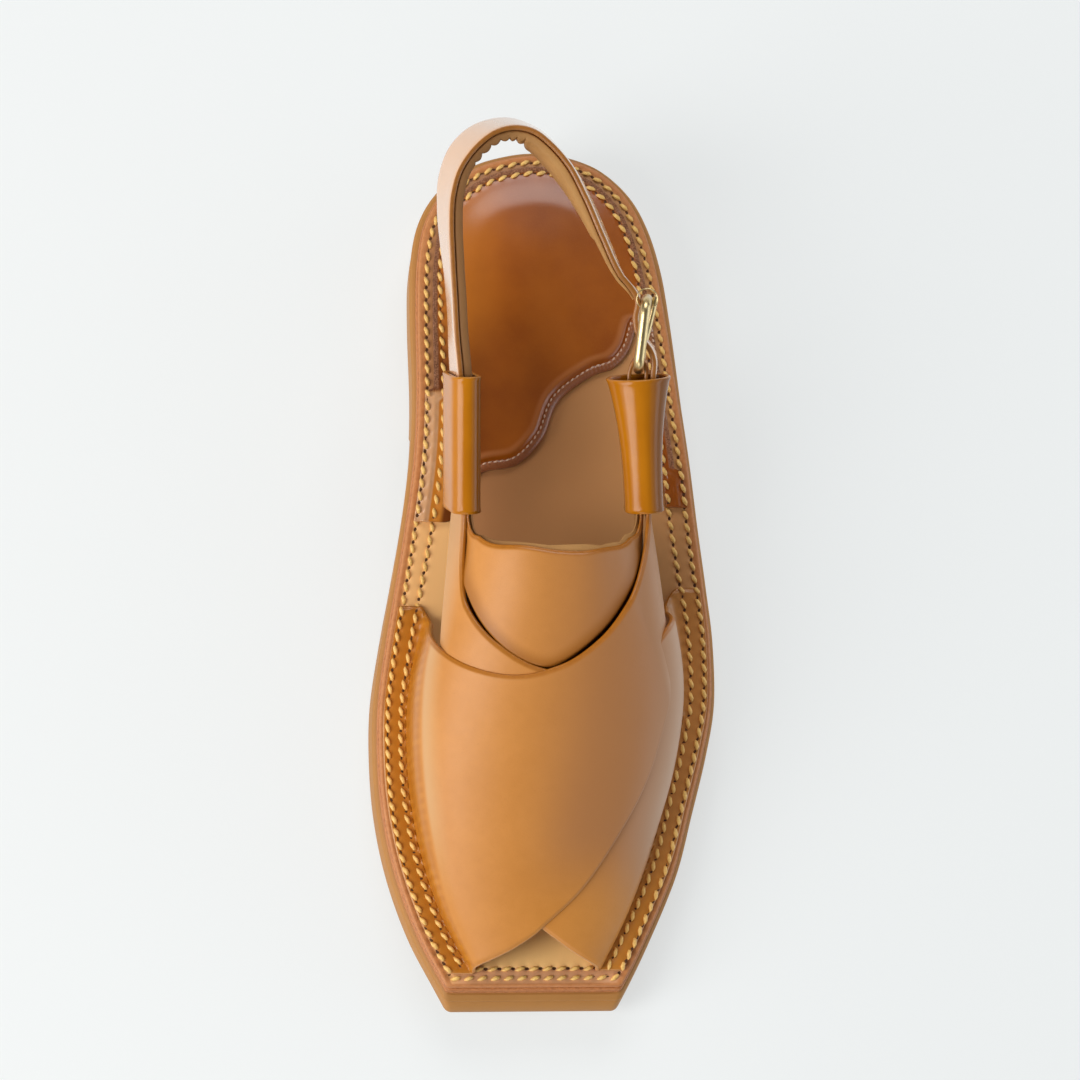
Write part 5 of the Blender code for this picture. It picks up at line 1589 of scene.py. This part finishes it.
def strap_leather(name="strap_leather_finish"):
    """Polished honey-tan strap with dark burnished edges."""
    paint = Paint(name, Coat_Roughness=0.12, IOR=1.5)
    clouds = paint.noise(22.0, 3.0)
    face = paint.mix(clouds, (0.56, 0.25, 0.08), (0.64, 0.31, 0.12))
    # Painted sheen: the medial branch's outer face paler and pinker, where its gloss reflects the
    # light.
    face = paint.mix(paint.axis(0).between(-0.014, -0.026) * 0.6, face, (0.78, 0.47, 0.27))
    edge = paint.value("edge")
    rim = paint.mix(paint.noise(1.8, 3.0), (0.24, 0.08, 0.008), (0.40, 0.15, 0.02))
    rim = paint.mix(paint.value("across").between(0.2, 0.75) * 0.7, rim, (0.14, 0.045, 0.006))
    # Painted highlight: a pale line along the outer top corner of the cut edges.
    corner = paint.value("across").between(-0.72, -0.86)
    face = paint.mix(edge, face, rim)
    paint.vary(Base_Color=paint.mix(corner * edge, face, (0.75, 0.52, 0.38)),
               Roughness=0.2 + 0.06 * paint.noise(4.0, 3.0) + 0.18 * edge,
               Coat_Weight=0.9 - 0.75 * edge,
               Normal=grain(paint, 0.6, 0.004))
    return paint.material


def sleeve_leather():
    """Polished orange-brown leather of the two sleeves."""
    paint = Paint("sleeve_leather_finish", Coat_Weight=0.32, Coat_Roughness=0.16, IOR=1.2)
    clouds = paint.noise(14.0, 3.0, stretch=(1.0, 0.35, 1.0))
    face = paint.mix(clouds.between(0.25, 0.75), (0.42, 0.135, 0.003), (0.52, 0.182, 0.005))
    # Painted shade: each sleeve darker on the side that faces the lateral side.
    face = paint.mix(paint.value("lee").between(0.0, 0.8) * 0.8, face, (0.16, 0.045, 0.001))
    edge = paint.value("edge")
    paint.vary(Base_Color=paint.mix(edge * 0.8, face, (0.55, 0.24, 0.05)),
               Roughness=0.2 + 0.08 * paint.noise(3.0, 3.0),
               Normal=grain(paint, 0.5, 0.008))
    return paint.material


def cover_leather():
    """Glossy cognac of the padded heel cover, its rolled pinkish edge and its raw rim."""
    paint = Paint("heel_cover_finish", Coat_Weight=0.7, Coat_Roughness=0.22, IOR=1.25)
    clouds = paint.noise(24.0, 4.0)
    face = paint.mix(clouds.between(0.25, 0.75), (0.27, 0.060, 0.002), (0.37, 0.094, 0.004))
    speck = paint.noise(0.5, 3.0).between(0.5, 0.75)
    face = paint.mix(speck * 0.3, face, (0.36, 0.11, 0.012))
    side = paint.axis(0).between(-0.010, -0.032)
    rear = paint.axis(1).between(0.055, 0.085)
    # Painted light: the medial rear of the cover paler, where the light falls on it.
    face = paint.mix(side * rear * 0.6, face, (0.52, 0.17, 0.018))
    # Painted shadow: nearly black in front of that, where the medial sleeve casts its shadow.
    face = paint.mix(side * (1.0 - rear) * 0.8, face, (0.09, 0.018, 0.001))
    front = paint.value("front")
    rolled = front.between(PIPE_WIDTH + 0.5, PIPE_WIDTH - 0.4)
    roll = paint.mix(paint.noise(0.7, 3.0), (0.20, 0.06, 0.018), (0.36, 0.13, 0.055))
    face = paint.mix(rolled, face, roll)
    rim = paint.value("rim")
    # Painted highlight: a soft pale streak a few millimetres behind the rolled front edge, where the
    # pad rises.
    highlight_streak = front.between(3.2, 4.6) * front.between(6.4, 4.8)
    face = paint.mix(highlight_streak * 0.4, face, (0.52, 0.20, 0.07))
    wing = paint.value("wing")
    face = paint.mix(wing * rim.between(9.5, 7.5), face, (0.54, 0.19, 0.02))
    # Between the seams' rows on the medial wing: a paler pinkish strip, its own lighter tone with
    # painted sheen on its puffs.
    strip = paint.mix(paint.noise(3.0, 3.0), (0.54, 0.26, 0.10), (0.68, 0.40, 0.22))
    face = paint.mix(wing * rim.between(4.7, 4.1), face, strip)
    raw = rim.between(1.9, 1.2) * paint.value("raw")
    fibres = paint.noise(0.5, 5.0, 0.7)
    frayed = paint.mix(fibres.between(0.3, 0.7), (0.13, 0.042, 0.016), (0.44, 0.20, 0.10))
    face = paint.mix(raw, face, frayed)
    relief = fibres * raw + 0.1 * paint.noise(0.8, 2.0)
    paint.vary(Base_Color=face, Roughness=0.3 + 0.4 * raw + 0.12 * paint.noise(2.5, 3.0),
               Normal=paint.bump(relief, 0.35, 0.8, grain(paint, 0.6, 0.012)))
    return paint.material


def lining_leather(name):
    """Soft khaki lining: matt, with fine cross wrinkles."""
    paint = Paint(name, IOR=1.4)
    clouds = paint.noise(6.0, 4.0)
    face = paint.mix(clouds, (0.38, 0.18, 0.05), (0.52, 0.27, 0.085))
    # Painted shade: darker towards the medial side, where the lining faces inward, away from the light.
    face = paint.mix(paint.axis(0).between(-0.004, -0.026) * 0.75, face, (0.17, 0.07, 0.02))
    wrinkles = paint.noise(0.9, 4.0, 0.6, stretch=(1.0, 1.0, 0.3))
    paint.vary(Base_Color=face, Roughness=0.55 + 0.15 * clouds, Normal=paint.bump(wrinkles, 0.18, 0.7))
    return paint.material


def deck_leather():
    """Insole: smooth matt tan, reddish and worn towards its edge."""
    paint = Paint("insole_finish", IOR=1.4)
    clouds = paint.noise(45.0, 3.0)
    face = paint.mix(clouds, (0.44, 0.20, 0.068), (0.52, 0.245, 0.088))
    # Painted shadow: darker on the medial side, where the medial sleeve and the strap cast their
    # shadow.
    face = paint.mix(paint.axis(0).between(0.005, -0.022) * 0.5, face, (0.28, 0.11, 0.04))
    # Painted light: paler on the lateral side, out of that shadow.
    face = paint.mix(paint.axis(0).between(0.008, 0.028) * 0.5, face, (0.62, 0.30, 0.11))
    depth = paint.value("inset")
    # Paler in the toe opening: the unworn leather's lighter tone, with painted light that falls in at
    # the toe.
    toe = paint.axis(1).between(-0.09, -0.12) * depth.between(7.0, 8.2)
    face = paint.mix(toe, face, (0.96, 0.58, 0.22))
    toe_border = paint.axis(1).between(-0.118, -0.124) * (1.0 - toe)
    face = paint.mix(toe_border, face, (0.66, 0.33, 0.16))
    border = depth.between(3.4, 2.2)
    # Paler on the medial strip in front of the heel cover's wing: the newer leather's tone, with
    # painted light where the light falls on it.
    medial = paint.axis(0).between(-0.026, -0.034) * paint.axis(1).between(0.022, 0.018)
    face = paint.mix(medial * 0.9, face, (0.90, 0.50, 0.19))
    worn = paint.mix(paint.noise(1.2, 4.0), (0.42, 0.14, 0.035), (0.62, 0.27, 0.10))
    face = paint.mix(border, face, worn)
    paint.vary(Base_Color=face, Roughness=0.42 + 0.12 * paint.noise(3.0, 3.0),
               Normal=grain(paint, 0.5, 0.012))
    return paint.material


def edge_leather(name):
    """Cut and burnished side of the leather boards: reddish, streaked along the layers."""
    paint = Paint(name, Coat_Weight=0.1, Coat_Roughness=0.3, IOR=1.45)
    streaks = paint.noise(1.4, 4.0, 0.65, stretch=(1.0, 1.0, 7.0))
    face = paint.mix(streaks.between(0.25, 0.75), (0.34, 0.11, 0.025), (0.60, 0.23, 0.07))
    paint.vary(Base_Color=face, Roughness=0.42 + 0.2 * streaks, Normal=paint.bump(streaks, 0.12, 0.8))
    return paint.material


def outsole_rubber():
    """Khaki-tan moulded rubber: matt, with a faint sheen and fine mould texture."""
    paint = Paint("outsole_finish", IOR=1.45)
    clouds = paint.noise(18.0, 4.0)
    face = paint.mix(clouds, (0.38, 0.165, 0.035), (0.48, 0.215, 0.05))
    scuff = paint.noise(1.2, 5.0, 0.7).between(0.55, 0.75)
    face = paint.mix(scuff * 0.25, face, (0.30, 0.145, 0.05))
    paint.vary(Base_Color=face, Roughness=0.5 + 0.15 * clouds,
               Normal=paint.bump(paint.noise(0.5, 4.0, 0.6), 0.06, 0.7))
    return paint.material


def waxed_thread():
    """Thick waxed thread, pale gold."""
    paint = Paint("waxed_thread", Coat_Weight=0.2, Coat_Roughness=0.3, IOR=1.45)
    tone = paint.mix(paint.noise(1.2, 3.0), (0.70, 0.38, 0.08), (0.95, 0.62, 0.20))
    paint.vary(Base_Color=tone, Roughness=0.42 + 0.1 * paint.noise(0.5, 2.0),
               Normal=paint.bump(paint.noise(0.3, 2.0), 0.05, 0.6))
    return paint.material


def cream_thread():
    """Fine cream thread of the heel cover's seam."""
    paint = Paint("cream_thread", IOR=1.45)
    tone = paint.mix(paint.noise(0.8, 2.0), (0.50, 0.30, 0.19), (0.72, 0.50, 0.36))
    paint.vary(Base_Color=tone, Roughness=0.5 + 0.1 * paint.noise(0.5, 2.0))
    return paint.material


def hole_shade():
    """The dark inside of the awl holes."""
    paint = Paint("hole_shade", IOR=1.4)
    tone = paint.mix(paint.noise(0.6, 2.0), (0.05, 0.018, 0.006), (0.12, 0.045, 0.014))
    paint.vary(Base_Color=tone, Roughness=0.8 + 0.1 * paint.noise(0.5, 2.0))
    return paint.material


def brass(name):
    """Polished pale brass with a few fine hair marks."""
    paint = Paint(name, Metallic=1.0)
    marks = paint.noise(0.8, 3.0, 0.6, stretch=(1.0, 0.15, 1.0))
    paint.vary(Base_Color=paint.mix(marks, (0.62, 0.46, 0.21), (0.76, 0.60, 0.33)),
               Roughness=0.26 + 0.14 * marks, Normal=paint.bump(marks, 0.01, 0.5))
    return paint.material


def floor_finish():
    """Plain pale floor, a little self-lit."""
    paint = Paint("floor_finish", IOR=1.3, Emission_Color=(0.94, 0.97, 0.97, 1.0),
                  Emission_Strength=0.6)
    tone = paint.mix(paint.noise(300.0, 2.0), (0.295, 0.302, 0.302), (0.305, 0.312, 0.312))
    paint.vary(Base_Color=tone, Roughness=0.75 + 0.1 * paint.noise(200.0, 2.0))
    return paint.material


# ----------------------------------------------------------------- floor, light, camera
Lamp = namedtuple("Lamp", "name place target size power colour")
LAMPS = table(
    Lamp,
    ("window_left", (-0.97, -0.35, 0.84), (0.0, 0.0, 0.03), (0.55, 1.0), 13.0, (1.0, 0.985, 0.96)),
    ("low_left", (-1.15, -0.1, 0.3), (0.0, 0.0, 0.03), (1.2, 0.4), 2.6, (1.0, 0.97, 0.95)),
    ("front", (-0.25, -1.05, 0.5), (0.0, -0.1, 0.03), (0.9, 0.4), 3.0, (1.0, 0.98, 0.96)),
    ("rim_right", (1.0, 0.0, 0.5), (0.0, 0.0, 0.03), (1.3, 0.9), 2.4, (0.84, 0.92, 1.0)),
    ("low_right", (1.15, 0.0, 0.3), (0.0, 0.0, 0.03), (1.2, 0.4), 2.8, (0.84, 0.92, 1.0)),
    ("back", (0.0, 0.98, 0.98), (0.0, 0.1, 0.05), (0.9, 0.45), 7.5, (1.0, 0.98, 0.97)),
)
FLOOR_HALF = 3.0
WORLD_COLOUR = (0.93, 0.965, 0.96)
WORLD_LIGHT = 0.12
CAMERA_PLACE = (-0.0975, -0.20435, 1.02)
CAMERA_RIGHT = (0.9955, 0.0, 0.09476)
CAMERA_BACK = (-0.09267, -0.20876, 0.97356)
CAMERA_LENS = 103.2
CAMERA_SENSOR = 36.0


def aim(place_at, back, right):
    """World matrix of something that looks against back, with right to its right: right is
    made square to back, and their cross product points up."""
    back = np.array(back) / np.linalg.norm(back)
    right = np.array(right) - back * np.dot(back, right)
    right /= np.linalg.norm(right)
    up = np.cross(back, right)
    matrix = np.eye(4)
    matrix[:3, 0], matrix[:3, 1], matrix[:3, 2], matrix[:3, 3] = right, up, back, place_at
    return Matrix(matrix.tolist())


def build_stage():
    """Floor, even pale surroundings, soft lamps and the camera."""
    size, level = FLOOR_HALF, cad_box[0][2]
    mesh = bpy.data.meshes.new("floor")
    corners = [(-size, -size, level), (size, -size, level), (size, size, level), (-size, size, level)]
    mesh.from_pydata(corners, [], [(0, 1, 2, 3)])
    mesh.materials.append(floor_finish())
    floor = bpy.data.objects.new("floor", mesh)
    bpy.context.scene.collection.objects.link(floor)
    world = bpy.data.worlds.new("surroundings")
    world.use_nodes = True
    bpy.context.scene.world = world
    background = world.node_tree.nodes["Background"]
    background.inputs["Color"].default_value = (*WORLD_COLOUR, 1.0)
    background.inputs["Strength"].default_value = WORLD_LIGHT
    for lamp in LAMPS:
        light = bpy.data.lights.new(lamp.name, "AREA")
        light.shape = "RECTANGLE"
        light.size, light.size_y = lamp.size
        light.energy = lamp.power
        light.color = lamp.colour
        holder = bpy.data.objects.new(lamp.name, light)
        back = np.subtract(lamp.place, lamp.target)
        holder.matrix_world = aim(lamp.place, back, np.cross((0.0, 0.0, 1.0), back))
        bpy.context.scene.collection.objects.link(holder)
    lens = bpy.data.cameras.new("camera")
    lens.lens = CAMERA_LENS
    lens.sensor_width = CAMERA_SENSOR
    camera = bpy.data.objects.new("camera", lens)
    camera.matrix_world = aim(CAMERA_PLACE, CAMERA_BACK, CAMERA_RIGHT)
    bpy.context.scene.collection.objects.link(camera)
    bpy.context.scene.camera = camera
    bpy.context.scene.view_settings.view_transform = "Standard"


build_sole()
build_heel_cover()
build_cover_seam()
build_upper()
for sleeve in SLEEVES:
    build_keeper(sleeve)
build_heel_strap()
build_buckle()
build_buckle_loop()
build_seams()
build_stage()
